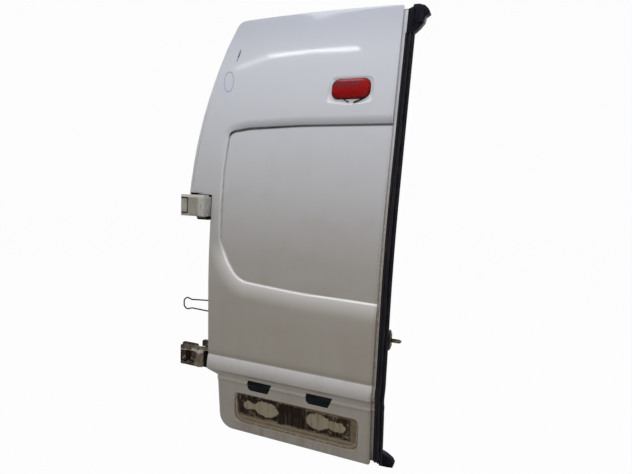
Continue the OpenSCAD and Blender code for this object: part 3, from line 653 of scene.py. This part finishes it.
# Painted light for the paint: the groove's dark line (dirt and painted shade), a painted highlight
# along the edge under the panel, on its shoulder and on the pocket's lower part, and painted shade
# on the roll above the panel.
high = smooth((co[:, 2] - 1240) / 30)
low = smooth((830 - co[:, 2]) / 110)
left = smooth((560 - co[:, 0]) / 380)
line = np.exp(-((panel - 4.5 + 2.0 * high) / (3.2 + high * (1.8 + 1.4 * left))) ** 4)
line = line * (0.55 + 0.45 * high) * (1 - 0.75 * low)
pocket = smooth((away(co[:, [0, 2]], pocket_outline) + 1) / 6) * smooth((1425 - co[:, 2]) / 20)
shoulder_highlight = 0.56 * np.clip(1 + panel / 70, 0, 1) ** 1.15 * (panel < 0)
ridge_highlight = np.exp(-((panel - 0.8) / 3.4) ** 4) + shoulder_highlight
painted_roll_shade = np.clip((panel + 37) / 33, 0, 1) * (panel < 1) * high * smooth((co[:, 0] - 120) / 110)
painted_highlight = np.clip(ridge_highlight * low + 0.55 * pocket, 0, 1)
for name, values in (("groove", line), ("painted_highlight", painted_highlight), ("painted_roll_shade", painted_roll_shade)):
    painted = skin.data.attributes.new(name, "FLOAT", "POINT")
    painted.data.foreach_set("value", values.astype(np.float32))
hem_back = 4.6
edge_walls(skin, lambda x, z: face(z) + np.where(x > reach - 1, step_deep - 0.3, hem_back))
modify(skin, "SOLIDIFY", thickness=skin_t / 1000, offset=-1, use_even_offset=False)
finish(skin, "door", "body_paint", body_paint(), "outer_skin", angle=60)


# Hem: the skin's own edge, folded flat behind the rim of the inner panel at the hinge side, the
# top and the bottom. It is the same painted steel, and holds the two pressings together.
hem_w, hem_roll, hem_rise, hem_gap, free_w = 9.7, 1.2, 0.8, 0.2, 11
rows, columns = cuts((30, 1740, 40)), cuts((0, 860, 60))
hem = blank("skin_hem", skin_outline, rows, columns, rims=(hem_roll, hem_w - hem_roll))
bpy.ops.object.mode_set(mode="EDIT")
bpy.ops.mesh.select_mode(type="FACE")
bpy.ops.mesh.select_all(action="DESELECT")
bpy.ops.object.mode_set(mode="OBJECT")
co = flat_places(hem)
inside = away(co[:, [0, 2]], skin_outline)
for polygon in hem.data.polygons:
    corners = list(polygon.vertices)
    beyond = inside[corners].min() > hem_w - 0.1
    free_edge = co[corners, 0].mean() > reach - free_w
    polygon.select = bool(beyond or free_edge)
bpy.ops.object.mode_set(mode="EDIT")
bpy.ops.mesh.delete(type="FACE")
bpy.ops.mesh.select_mode(type="VERT")
bpy.ops.object.mode_set(mode="OBJECT")
co = flat_places(hem)
inside = away(co[:, [0, 2]], skin_outline)
co[:, 1] = face(co[:, 2]) + hem_back - hem_gap - hem_rise * smooth(1 - inside / hem_roll)
press(hem, co)
modify(hem, "SOLIDIFY", thickness=skin_t / 1000, offset=0)
finish(hem, "door", "body_paint", skin.data.materials[0])


# Inner panel: a deep pressed tray of thin steel behind the skin, with a sunk field, stiffening
# beads and access holes. It only got a thin coat of body colour, and the skin's hem holds it.
def inner_paint():
    made, shader, here, x, _, z = material(
        "inner_paint", IOR=1.45, Coat_Weight=0.15, Coat_Roughness=0.3)
    colour = z.rise(0.7, -0.9).mix(rgb(196, 197, 200), rgb(184, 180, 172))
    thin = noise(here, 5, 3).rise(0.35, 0.7)
    colour = (thin * 0.35).mix(colour, rgb(170, 170, 172))
    dirt = noise(here, 18, 6, 0.7).rise(0.48, 0.75)
    runs = streaks(here, 38, 2).rise(0.52, 0.8)
    colour = ((dirt * 0.5 + runs * 0.3) * z.rise(0.9, -0.9)).mix(colour, rgb(128, 114, 92))
    # The flange darker and browner towards the bottom: partly dirt, partly painted shade.
    edge = x.rise(0.845, 0.875) * (0.35 + noise(here, 150, 5, 0.7).rise(0.40, 0.62) * 0.65)
    colour = (edge * z.rise(0.45, -0.10) * 0.85).mix(colour, rgb(112, 101, 90))
    colour = (x.rise(0.8735, 0.8750) * z.rise(0.30, 0.10) * 0.45).mix(colour, rgb(176, 168, 156))
    # Darker brown at the very foot of the flange.
    darker_at_foot = x.rise(0.862, 0.872) * z.rise(-0.90, -0.95)
    colour = (darker_at_foot * 0.75).mix(colour, rgb(66, 56, 46))
    rust = noise(here, 70, 5, 0.7).rise(0.69, 0.75)
    colour = (rust * 0.7).mix(colour, rgb(110, 62, 34))
    feed(shader, Base_Color=colour, Roughness=0.42 + dirt * 0.3,
         Normal=bump(noise(here, 300, 2) * 0.5 + rust, 0.0003, 0.35))
    return made


inner_made = inner_paint()
depth, inner_t, inner_r, front_gap, step_w = 48, 1.2, 9, 1.8, 34
field_deep, rib_out, rib_w, rib_r, dimple = 14, 6, 34, 16, 2.2
tray_outline = arcs([
    (reach + step_w, 12, 8), (reach + step_w, top(reach + step_w) - 12, 8),
    *((x, top(x) - 12, 0) for x in np.linspace(reach, flare(height) + 60, 7)),
    (flare(height) + 10, top(flare(height)) - 12, 40),
    *((flare(z) + 12, z, 0) for z in np.linspace(flank_top, flare_z, 8)),
    (-3, 1019, 8), (116, 1019, 8), (140, 331, 0), (142, 262, 12), (194, 248, 12), (202, 12, 50),
])
field_outline = arcs([(793, 706, 60), (793, 1236, 60), (193, 1236, 60), (193, 706, 60)])
rib_spans = ((513, 1348, 540), (533, 1674, 500), (513, 335, 600))
hole_spans = (
    (343, 487, 230, 170, 36), (643, 487, 230, 170, 36),
    (664, 1438, 200, 110, 30), (343, 1438, 120, 90, 30),
)


def box_outline(x, z, w, h, r):
    """A rectangle about (x, z) with round corners."""
    ways = ((1, -1), (1, 1), (-1, 1), (-1, -1))
    return arcs([(x + i * w / 2, z + j * h / 2, r) for i, j in ways])


rows = cuts(
    (14, 40, 6), (40, 300, 24), (300, 318, 9), (318, 356, 3.5), (356, 600, 20), (600, 700, 16),
    (700, 730, 3.5), (730, 1215, 15), (1215, 1240, 3.5), (1240, 1330, 14), (1330, 1368, 3.5),
    (1368, 1655, 16), (1655, 1694, 3.5), (1694, 1750, 10),
)
columns = cuts(
    (0, 140, 12), (140, 190, 8), (190, 216, 3.5), (216, 770, 18), (770, 800, 3.5), (800, 900, 9),
)
tray = blank("inner_tray", tray_outline, rows, columns, rims=(1, 2, 3, 4))
co = flat_places(tray)
spots = co[:, [0, 2]]
inside = np.maximum(away(spots, tray_outline), 0)
sunk = -field_deep * smooth((away(spots, field_outline) + 2) / 18)
for x, z, w in rib_spans:
    sunk += rib_out * smooth((away(spots, box_outline(x, z, w, rib_w, rib_r)) + 1) / 11)
for x, z, w, h, r in hole_spans:
    sunk -= dimple * smooth(1 + away(spots, box_outline(x, z, w, h, r)) / 14)
co[:, 1] = lean(co[:, 2]) + depth + sunk - rolled(inside, inner_r)
press(tray, co)
bpy.ops.object.mode_set(mode="EDIT")
bpy.ops.mesh.select_all(action="SELECT")
bpy.ops.mesh.flip_normals()
bpy.ops.object.mode_set(mode="OBJECT")
edge_walls(tray, lambda x, z: face(z) + front_gap + np.where(x > reach - 6, step_deep, 0))
modify(tray, "SOLIDIFY", thickness=inner_t / 1000, offset=-1, use_even_offset=False)
cutters = []
cut_from, cut_depth = 12, 90
for x, z, w, h, r in hole_spans:
    cutter = blank("cutter", box_outline(x, z, w, h, r), (), ())
    co = flat_places(cutter)
    co[:, 1] = lean(z) + cut_from
    press(cutter, co)
    modify(cutter, "SOLIDIFY", thickness=cut_depth / 1000, offset=-1)
    cutters.append(cutter)
choose(cutters[0])
for cutter in cutters:
    cutter.select_set(True)
bpy.ops.object.join()
modify(tray, "BOOLEAN", operation="DIFFERENCE", object=cutters[0], solver="EXACT")
bpy.data.objects.remove(cutters[0])
finish(tray, "door", "inner_paint", inner_made, "inner_panel", angle=50)


# Upper frame leaf: the cast hinge half that four bolts hold to the body's pillar, with the knuckle
# between the arm's ears. It has the door's paint with grime, painted highlights on its top and a
# side facet, and painted shade in the seams, on the front and underneath.
weld = 0.00002


def softened(node, body, slot, made, width, segments=2):
    """A copy of a CAD piece with its loose triangles merged and its edges rounded."""
    piece = frame["nodes"][node].copy()
    piece.data = piece.data.copy()
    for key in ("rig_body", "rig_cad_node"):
        if key in piece:
            del piece[key]
    piece.parent = None
    piece.name = piece.data.name = node + "_made"
    scene.collection.objects.link(piece)
    choose(piece)
    bpy.ops.object.mode_set(mode="EDIT")
    bpy.ops.mesh.select_all(action="SELECT")
    bpy.ops.mesh.remove_doubles(threshold=weld)
    bpy.ops.mesh.dissolve_limited(angle_limit=math.radians(1.5))
    bpy.ops.object.mode_set(mode="OBJECT")
    modify(piece, "BEVEL", width=width / 1000, segments=segments, limit_method="ANGLE",
           angle_limit=math.radians(30))
    modify(piece, "TRIANGULATE")
    return finish(piece, body, slot, made, node, angle=40)


def hinge_paint():
    made, shader, here, x, _, z = material(
        "hinge_paint", IOR=1.45, Specular_IOR_Level=0.25, Coat_Weight=0.25, Coat_Roughness=0.2)
    colour = noise(here, 24, 4).rise(0.3, 0.75).mix(rgb(176, 172, 162), rgb(156, 151, 140))
    # painted highlight: a lighter facet at the right end, turned to the light
    edge = x.rise(0.076, 0.079) * z.band(-0.060, 0.038, 0.004)
    colour = (edge * 0.6).mix(colour, rgb(192, 194, 190))
    grime = noise(here, 60, 6, 0.7).rise(0.50, 0.72)
    colour = (grime * 0.45).mix(colour, rgb(104, 94, 76))
    # painted highlight on the top face, and painted shade on the front face under it
    above = z.rise(0.031, 0.037)
    colour = (above * 0.55).mix(colour, rgb(204, 201, 192))
    colour = ((1 - above) * x.band(0.028, 0.074, 0.004) * 0.40).mix(colour, rgb(132, 126, 113))
    # painted shadow along the right end
    colour = (x.rise(0.1085, 0.1105) * 0.75).mix(colour, rgb(62, 52, 42))
    # dark seams round the knuckle: grime with painted shade in the gaps
    level = (z * z).band(0.00081, 0.00119, 0.00006) * (1 - x.rise(0.023, 0.027))
    upright = x.band(0.0215, 0.0270, 0.0012) * (1 - (z * z).rise(0.00100, 0.00112))
    colour = (level.either(upright) * 0.97).mix(colour, rgb(24, 17, 12))
    # painted shade underneath
    low = z.rise(-0.0440, -0.0475)
    colour = (low * 0.8).mix(colour, rgb(62, 54, 44))
    chips = noise(here, 150, 4, 0.6).rise(0.69, 0.72)
    colour = (chips * 0.9).mix(colour, rgb(66, 48, 36))
    cast = noise(here, 320, 4, 0.6)
    feed(shader, Base_Color=colour, Roughness=0.42 + grime * 0.3,
         Normal=bump(cast - chips * 0.5, 0.0004, 0.4))
    return made


arm_made = hinge_paint()
softened("upper_frame_leaf", "frame_side", "hinge_paint", arm_made, 1.6)


# Lower frame leaf: the same casting at the lower hinge, bolted to the pillar. It has lost its
# paint, and is crusted with road dirt and rust, with bare bright edges that carry painted
# highlights, and painted shade in the recess between its ears and on the leaf behind the arm.
def casting():
    made, shader, here, x, y, z = material("hinge_casting", IOR=1.5, Specular_IOR_Level=0.12)
    lumps = noise(here, 38, 6, 0.7)
    fine = noise(here, 240, 5, 0.7)
    colour = lumps.rise(0.42, 0.60).mix(rgb(44, 35, 27), rgb(122, 110, 92))
    pillar = x.rise(0.058, 0.064) * z.rise(-0.616, -0.622)
    colour = (pillar * 0.6).mix(colour, rgb(138, 128, 108))
    # painted shade in the recess and the slot between the ears
    inner = z.band(-0.690, -0.640, 0.003) * (1 - x.rise(0.046, 0.054))
    slot = z.band(-0.700, -0.695, 0.0015) * (1 - x.rise(0.040, 0.048))
    colour = (inner.either(slot) * 0.90).mix(colour, rgb(27, 20, 16))
    rust = noise(here, 90, 5, 0.65).rise(0.50, 0.66)
    colour = (rust * 0.55).mix(colour, rgb(84, 54, 36))
    # darker brown on the top faces, and painted shade on the back of the leaf, behind the arm
    above = z.rise(-0.6258, -0.6240).either(y.rise(-0.016, -0.011))
    above = above * (1 - x.rise(0.090, 0.110) * 0.6)
    colour = (above * 0.68).mix(colour, rgb(64, 53, 42))
    # bare metal where the casting is worn, lighter than its dirt; along the column's top the bright
    # bands are painted highlight on bare metal
    bare = fine.rise(0.56, 0.66) * lumps.rise(0.42, 0.56) * (1 - inner * 0.6)
    worn_highlight = z.band(-0.6345, -0.6245, 0.003) * x.band(0.050, 0.106, 0.006)
    bare = bare.either(worn_highlight * fine.rise(0.40, 0.50))
    bare = bare.either((z.band(-0.6400, -0.6345, 0.002) * fine.rise(0.40, 0.50)) * 0.9)
    colour = (bare * 0.8).mix(colour, rgb(222, 217, 206))
    caked = noise(here, 60, 4).rise(0.60, 0.70)
    colour = (caked * 0.8).mix(colour, rgb(34, 27, 22))
    feed(shader, Base_Color=colour, Metallic=bare * 0.5, Roughness=0.74 - bare * 0.36,
         Normal=bump(lumps + fine * 0.6 + caked * 0.5, 0.0022, 0.9))
    return made


casting_made = casting()
softened("lower_frame_leaf", "frame_side", "hinge_casting", casting_made, 1.4)


# Hinge pins: turned steel pins, one in each hinge. They are pressed into the leaves' knuckles, and
# the arms' ears turn on them.
def steel(name, light, dark, rusty):
    made, shader, here, *_ = material(name, IOR=1.5)
    colour = noise(here, 120, 5, 0.7).rise(0.35, 0.7).mix(dark, light)
    rust = noise(here, 190, 5, 0.7).rise(rusty, rusty + 0.1)
    colour = (rust * 0.8).mix(colour, rgb(102, 66, 42))
    feed(shader, Base_Color=colour, Metallic=0.75 - rust * 0.7, Roughness=0.42 + rust * 0.4,
         Normal=bump(noise(here, 700, 3) + rust, 0.0003, 0.5))
    return made


pin_made = steel("pin_steel", rgb(150, 145, 136), rgb(104, 98, 90), 0.55)
softened("upper_hinge_pin", "frame_side", "pin_steel", pin_made, 0.8)
softened("lower_hinge_pin", "frame_side", "pin_steel", pin_made, 0.8)


# Upper hinge arm: a boxy casting with two ears, in the door's paint. It sits in the skin's notch
# and is bolted to the door.
softened("upper_hinge_arm", "door", "hinge_paint", arm_made, 2.2, 3)


# Lower hinge arm: a cast arm with two ears and a round column, bolted to the door beside the
# ledge. It has the same dirt, bare edges, painted shade and painted highlights as its leaf.
softened("lower_hinge_arm", "door", "hinge_casting", casting_made, 2.0, 3)


# Lower hinge packing: a black rubber block, squeezed between the arm's column and the end of the
# ledge.
def rubber(name, tone, dusty, gloss):
    made, shader, here, *_ = material(name, IOR=1.48, Specular_IOR_Level=gloss)
    dust = noise(stretched(here, 40, 40, 12), 1, 5, 0.7).rise(0.45, 0.8)
    colour = (dust * dusty).mix(tone, rgb(92, 90, 92))
    scuffs = noise(stretched(here, 220, 220, 18), 1, 3).rise(0.62, 0.72)
    colour = (scuffs * dusty * 0.8).mix(colour, rgb(120, 116, 112))
    feed(shader, Base_Color=colour, Roughness=0.36 + dust * 0.35,
         Normal=bump(noise(here, 900, 3), 0.0002, 0.4))
    return made


packing_made = rubber("packing_rubber", rgb(8, 7, 7), 0.05, 0.06)
softened("lower_hinge_packing", "door", "seal_rubber", packing_made, 2.0)


# Step flange: the stepped steel edge on which the seal sits, spot-welded between the pressings.
# The other door closes over it.
softened("step_flange", "door", "inner_paint", inner_made, 0.3, 1)


# Seal ends: rubber mouldings, a hooked one at the top and a wedge at the foot. They are glued to
# the flange where the seal stops.
moulded_made = rubber("moulded_rubber", rgb(13, 14, 24), 0.10, 0.06)
softened("seal_top_end", "door", "seal_rubber", moulded_made, 2.2, 3)
softened("seal_foot", "door", "seal_rubber", moulded_made, 2.4, 3)


# Striker: a plastic block on the flange's side, with a bent steel plate and a wire loop screwed
# to it. The other door's latch closes round the loop.
plastic_made = rubber("black_plastic", rgb(14, 14, 16), 0.14, 0.14)
striker_made = steel("striker_steel", rgb(122, 110, 92), rgb(48, 40, 31), 0.56)
softened("striker_block", "door", "black_plastic", plastic_made, 1.5)
softened("striker_plate", "door", "zinc_steel", striker_made, 0.6)
softened("striker_loop", "door", "zinc_steel", striker_made, 0.4, 1)


# Loop bracket: two zinc-plated steel ears, riveted to the side of the inner panel. The check loop
# turns in them.
zinc_made = steel("zinc_steel", rgb(140, 131, 116), rgb(88, 79, 67), 0.58)
softened("loop_bracket", "door", "zinc_steel", zinc_made, 0.8)


# Locking gear: a plastic release lever on the inner panel, and plated rods from it to a latch at
# the top and one at the bottom. The latches are screwed to the panel.
softened("release_lever", "door", "black_plastic", plastic_made, 2.0)
for end in ("upper", "lower"):
    softened(end + "_rod", "door", "zinc_steel", zinc_made, 0.4, 1)
    softened(end + "_latch", "door", "zinc_steel", zinc_made, 1.2)


# Brake lamp: a clear red moulding over a dark red reflector, in a black gasket. It is held in the
# skin's shallow pocket by screws from inside.
def red_lens():
    made, shader, here, x, _, z = material(
        "red_lens", IOR=1.49, Specular_IOR_Level=0.12, Coat_Weight=0.08, Coat_Roughness=0.03)
    grain = noise(here, 60, 3).rise(0.3, 0.7)
    colour = z.rise(0.455, 0.500).mix(rgb(134, 5, 4), rgb(160, 10, 10))
    colour = (grain * 0.12).mix(colour, rgb(104, 8, 8))
    shade = z.rise(0.484, 0.492) * (1 - z.rise(0.507, 0.515)) * (1 - x.rise(0.70, 0.76))
    colour = (shade * 0.75).mix(colour, rgb(92, 24, 38))
    # painted highlight: a pale line along the lens's top edge
    top_line = z.rise(0.507, 0.512) * (1 - z.rise(0.514, 0.518)) * x.band(0.632, 0.744, 0.01)
    colour = (top_line * 0.55).mix(colour, rgb(196, 92, 92))
    rim = ellipse(x, z, (0.688, 0.481), (0.080, 0.040)).rise(0.80, 1.30)
    colour = (rim * 0.7).mix(colour, rgb(92, 8, 12))
    nicks = noise(stretched(here, 30, 30, 600), 1, 2).rise(0.70, 0.74)
    colour = (nicks * 0.5).mix(colour, rgb(190, 70, 60))
    feed(shader, Base_Color=colour, Roughness=0.22 + grain * 0.1)
    return made


def close_ends():
    """Fills what is open in the mesh that is edited, turns it outwards and leaves edit mode."""
    bpy.ops.mesh.select_mode(type="EDGE")
    bpy.ops.mesh.select_all(action="DESELECT")
    bpy.ops.mesh.select_non_manifold()
    bpy.ops.mesh.edge_face_add()
    bpy.ops.mesh.select_all(action="SELECT")
    bpy.ops.mesh.normals_make_consistent(inside=False)
    bpy.ops.object.mode_set(mode="OBJECT")


lamp_x, lamp_z = 688, 1438


def cushion(name, size, corner, front, edge, back, slot, made, node, dome=0):
    """A closed moulding in the lamp's pocket, its front edge rolled by that radius."""
    wide, high = size
    outline = box_outline(lamp_x, lamp_z, wide, high, corner)
    rows = cuts((lamp_z - high / 2, lamp_z + high / 2, 8))
    columns = cuts((lamp_x - wide / 2, lamp_x + wide / 2, 8))
    sheet = blank(name, outline, rows, columns, rims=(0.4, 0.8, 1.4, 2, 2))
    co = flat_places(sheet)
    inside = np.maximum(away(co[:, [0, 2]], outline), 0)
    bulge = dome * (1 - np.clip(1 - inside / (high / 2), 0, 1) ** 2)
    floor_y = face(co[:, 2]) + skin_depth(co[:, 0], co[:, 2])[0] - pocket_deep
    co[:, 1] = floor_y + front + rolled(inside, edge) - bulge
    press(sheet, co)
    edge_walls(sheet, lambda x, z: face(z) + skin_depth(x, z)[0] - pocket_deep + back)
    bpy.ops.object.mode_set(mode="EDIT")
    close_ends()
    return finish(sheet, "door", slot, made, node, angle=50)


lens_made = red_lens()
cushion(
    "lamp_gasket", (160, 81), 30, 0.6, 1.5, 4.4, "black_plastic", plastic_made, "brake_lamp_base")
cushion(
    "lamp_lens", (156, 76), 28, -8.5, 6, 0.5, "red_lens", lens_made, "brake_lamp_lens", dome=3)


# Number plate lamps: black plastic bodies behind smoked windows. They are clipped into the
# underside of the ledge.
def lamp_window():
    made, shader, here, *_ = material("lamp_window", IOR=1.49, Specular_IOR_Level=0.08)
    dust = noise(here, 60, 5).rise(0.4, 0.8)
    colour = (dust * 0.25).mix(rgb(10, 13, 18), rgb(34, 40, 46))
    feed(shader, Base_Color=colour, Roughness=0.35 + dust * 0.3,
         Normal=bump(noise(here, 500, 2), 0.0002, 0.3))
    return made


window_made = lamp_window()
for side in ("left", "right"):
    softened("plate_lamp_body_" + side, "door", "black_plastic", plastic_made, 1.0)
    softened("plate_lamp_lens_" + side, "door", "lamp_window", window_made, 0.4, 1)


# Upper hinge's shoe and gap shade: a rubber shoe under the arm, glued to the pressings, and thin
# black strips in the gap between the notch and the inner panel behind it, a painted shade that
# closes the gap.
def slab(name, low, high, width, slot, made):
    """A box between two corners in the door's millimetres, with its edges rounded."""
    bpy.ops.object.select_all(action="DESELECT")
    bpy.ops.mesh.primitive_cube_add(size=1)
    piece = bpy.context.object
    piece.name = piece.data.name = name
    for vertex in piece.data.vertices:
        corner = [high[i] if vertex.co[i] > 0 else low[i] for i in range(3)]
        vertex.co = metres(*corner)
    modify(piece, "BEVEL", width=width / 1000, segments=2, limit_method="NONE")
    return finish(piece, "door", slot, made)


slab("arm_shoe", (52, 6, 897), (112, 30, 912), 4.0, "seal_rubber", packing_made)
# painted shade: black strips in the gap behind the notch
slab("hinge_gap_shade", (-8, 44.2, 998), (116, 47, 1010), 0.6, "seal_rubber", plastic_made)
slab("hinge_gap_shade_end", (64, 44.4, 950), (117, 46.8, 1008), 0.6, "seal_rubber", plastic_made)


# Lower stop block: a rusty cast block on the flank over the lower hinge, with the root of the
# hinge arm under it. Both are bolted through the skin.
stop = slab("stop_block", (87, 5, 341), (136, 26, 367), 2.5, "hinge_casting", casting_made)
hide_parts("lower_stop_block")
slab("arm_root", (100, 9, 316), (128, 24, 343), 2.0, "hinge_casting", casting_made)


# Lower hinge's fasteners: a bolt with its washer in the frame leaf's knuckle, and a rivet head in
# the arm. All are plated steel.
def turned(name, middle, radius, span, sides, body, slot, made):
    """A round or six-sided piece about (x, z), between two depths."""
    bpy.ops.object.select_all(action="DESELECT")
    bpy.ops.mesh.primitive_cylinder_add(vertices=sides, radius=1, depth=1)
    piece = bpy.context.object
    piece.name = piece.data.name = name
    for vertex in piece.data.vertices:
        across, up = vertex.co.x * radius, vertex.co.y * radius
        end_y = span[0] if vertex.co.z > 0 else span[1]
        vertex.co = metres(middle[0] + across, end_y, middle[1] + up)
    bpy.ops.object.mode_set(mode="EDIT")
    bpy.ops.mesh.select_all(action="SELECT")
    bpy.ops.mesh.normals_make_consistent(inside=False)
    bpy.ops.object.mode_set(mode="OBJECT")
    modify(piece, "BEVEL", width=0.8 / 1000, segments=2, limit_method="ANGLE",
           angle_limit=math.radians(50))
    return finish(piece, body, slot, made)


turned("hinge_washer", (7, 285), 10, (-18.8, -15), 24, "frame_side", "pin_steel", pin_made)
turned("hinge_bolt", (7, 285), 7.5, (-21.8, -18), 6, "frame_side", "zinc_steel", zinc_made)
turned("hinge_rivet", (47, 284), 6.5, (-13, -6), 16, "door", "zinc_steel", zinc_made)


# Brake lamp's wires: the ends of two covered wires, cut short. They come out of the lamp's hole and
# hang under the lens.
def bent_wire(name, points, radius, body, slot, made):
    """A thin wire through those places, bent sharply at each."""
    curve = bpy.data.curves.new(name, "CURVE")
    curve.dimensions = "3D"
    curve.bevel_depth = radius / 1000
    curve.use_fill_caps = True
    run = curve.splines.new("POLY")
    run.points.add(len(points) - 1)
    for point, place in zip(run.points, points):
        point.co = (*metres(*place), 1)
    wire = bpy.data.objects.new(name, curve)
    scene.collection.objects.link(wire)
    choose(wire)
    bpy.ops.object.convert(target="MESH")
    return finish(bpy.context.object, body, slot, made)


wires_z = 1396.0
front_y = float(face(np.array(wires_z)))
for side, points, radius in (
    ("left", ((655, 2, 1402), (666, -1, 1395), (684, -3, 1386)), 2.0),
    ("right", ((745, 2, 1400), (728, -2, 1392), (704, -4, 1383)), 2.7),
):
    points = [(x, front_y + y, z) for x, y, z in points]
    bent_wire("lamp_wire_" + side, points, radius, "door", "black_plastic", plastic_made)


# Check loop: one bent steel wire. It narrows to a neck, opens into a bell, and its two ends turn
# in the bracket's ears.
wire_made = steel("loop_wire", rgb(44, 42, 40), rgb(22, 21, 20), 0.62)
wire_r, loop_y = 3, 24
low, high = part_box("check_loop")
pivot_x, loop_z = high[0] * 1000 - wire_r, axis_z + (low[2] + high[2]) * 500
half = [(0, 6, 0), (0, 25, 7), (-106, 19, 34), (-133, 27, 14), (-149, 14, 13)]
bends = arcs(half + [(x, -z, radius) for x, z, radius in reversed(half)], 8)
tilt = 0.02
points = [(pivot_x + x, loop_y, loop_z + z + tilt * x) for x, z in bends]
loop = bent_wire("loop_wire", points, wire_r, "loop", "zinc_steel", wire_made)
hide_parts("check_loop")


# Centre seal: extruded rubber with three round lips on a flat base, pressed onto the step flange
# from its top end to its foot.
def strip(name, profile, low, high, step, made, *nodes):
    """A closed outline (x, depth from the plain face), drawn up the free edge from low to high."""
    across = len(profile) + 1
    levels = int((high - low) / step) + 1
    bpy.ops.object.select_all(action="DESELECT")
    bpy.ops.mesh.primitive_grid_add(x_subdivisions=across - 1, y_subdivisions=levels - 1, size=1)
    piece = bpy.context.object
    piece.name = piece.data.name = name
    for vertex in piece.data.vertices:
        x, y = profile[round((vertex.co.x + 0.5) * (across - 1)) % len(profile)]
        z = low + (high - low) * (vertex.co.y + 0.5)
        vertex.co = metres(x, float(face(np.array(z))) + y, z)
    bpy.ops.object.mode_set(mode="EDIT")
    bpy.ops.mesh.select_all(action="SELECT")
    bpy.ops.mesh.remove_doubles(threshold=weld)
    close_ends()
    return finish(piece, "door", "seal_rubber", made, *nodes, angle=50)


rubber_made = rubber("seal_rubber", rgb(15, 15, 23), 0.20, 0.22)
lips = [
    (878.5, 15.7), (878.5, 14.2), (881.5, 12.2), (884.2, 9), (885.5, 5.4), (888, 4.2), (890.5, 5.4),
    (891.8, 9.4), (895, 9.8), (896.5, 5.2), (899, 3.0), (902, 3.0), (904.5, 5.2), (906, 9.8),
    (908.5, 9.4), (910, 4.6), (912.5, 2.6), (915.5, 3.4), (917.6, 7), (917.6, 12), (914, 15.7),
]
strip("lipped_seal", lips, 14, 1646, 12, rubber_made, "centre_seal")


# Seal end's pad and rib: a raised pad and a rib on the seal's top end. They are moulded with it, of
# the same rubber.
pad = [(922, 8), (922, 1.5), (924, -0.6), (945, -1), (948, 1), (948, 8)]
rib = [(903, 8), (903.5, 2), (906, -0.2), (909, -0.2), (911.5, 2), (912, 8)]
strip("seal_end_pad", pad, 1678, 1726, 6, moulded_made)
strip("seal_end_rib", rib, 1642, 1734, 6, moulded_made)
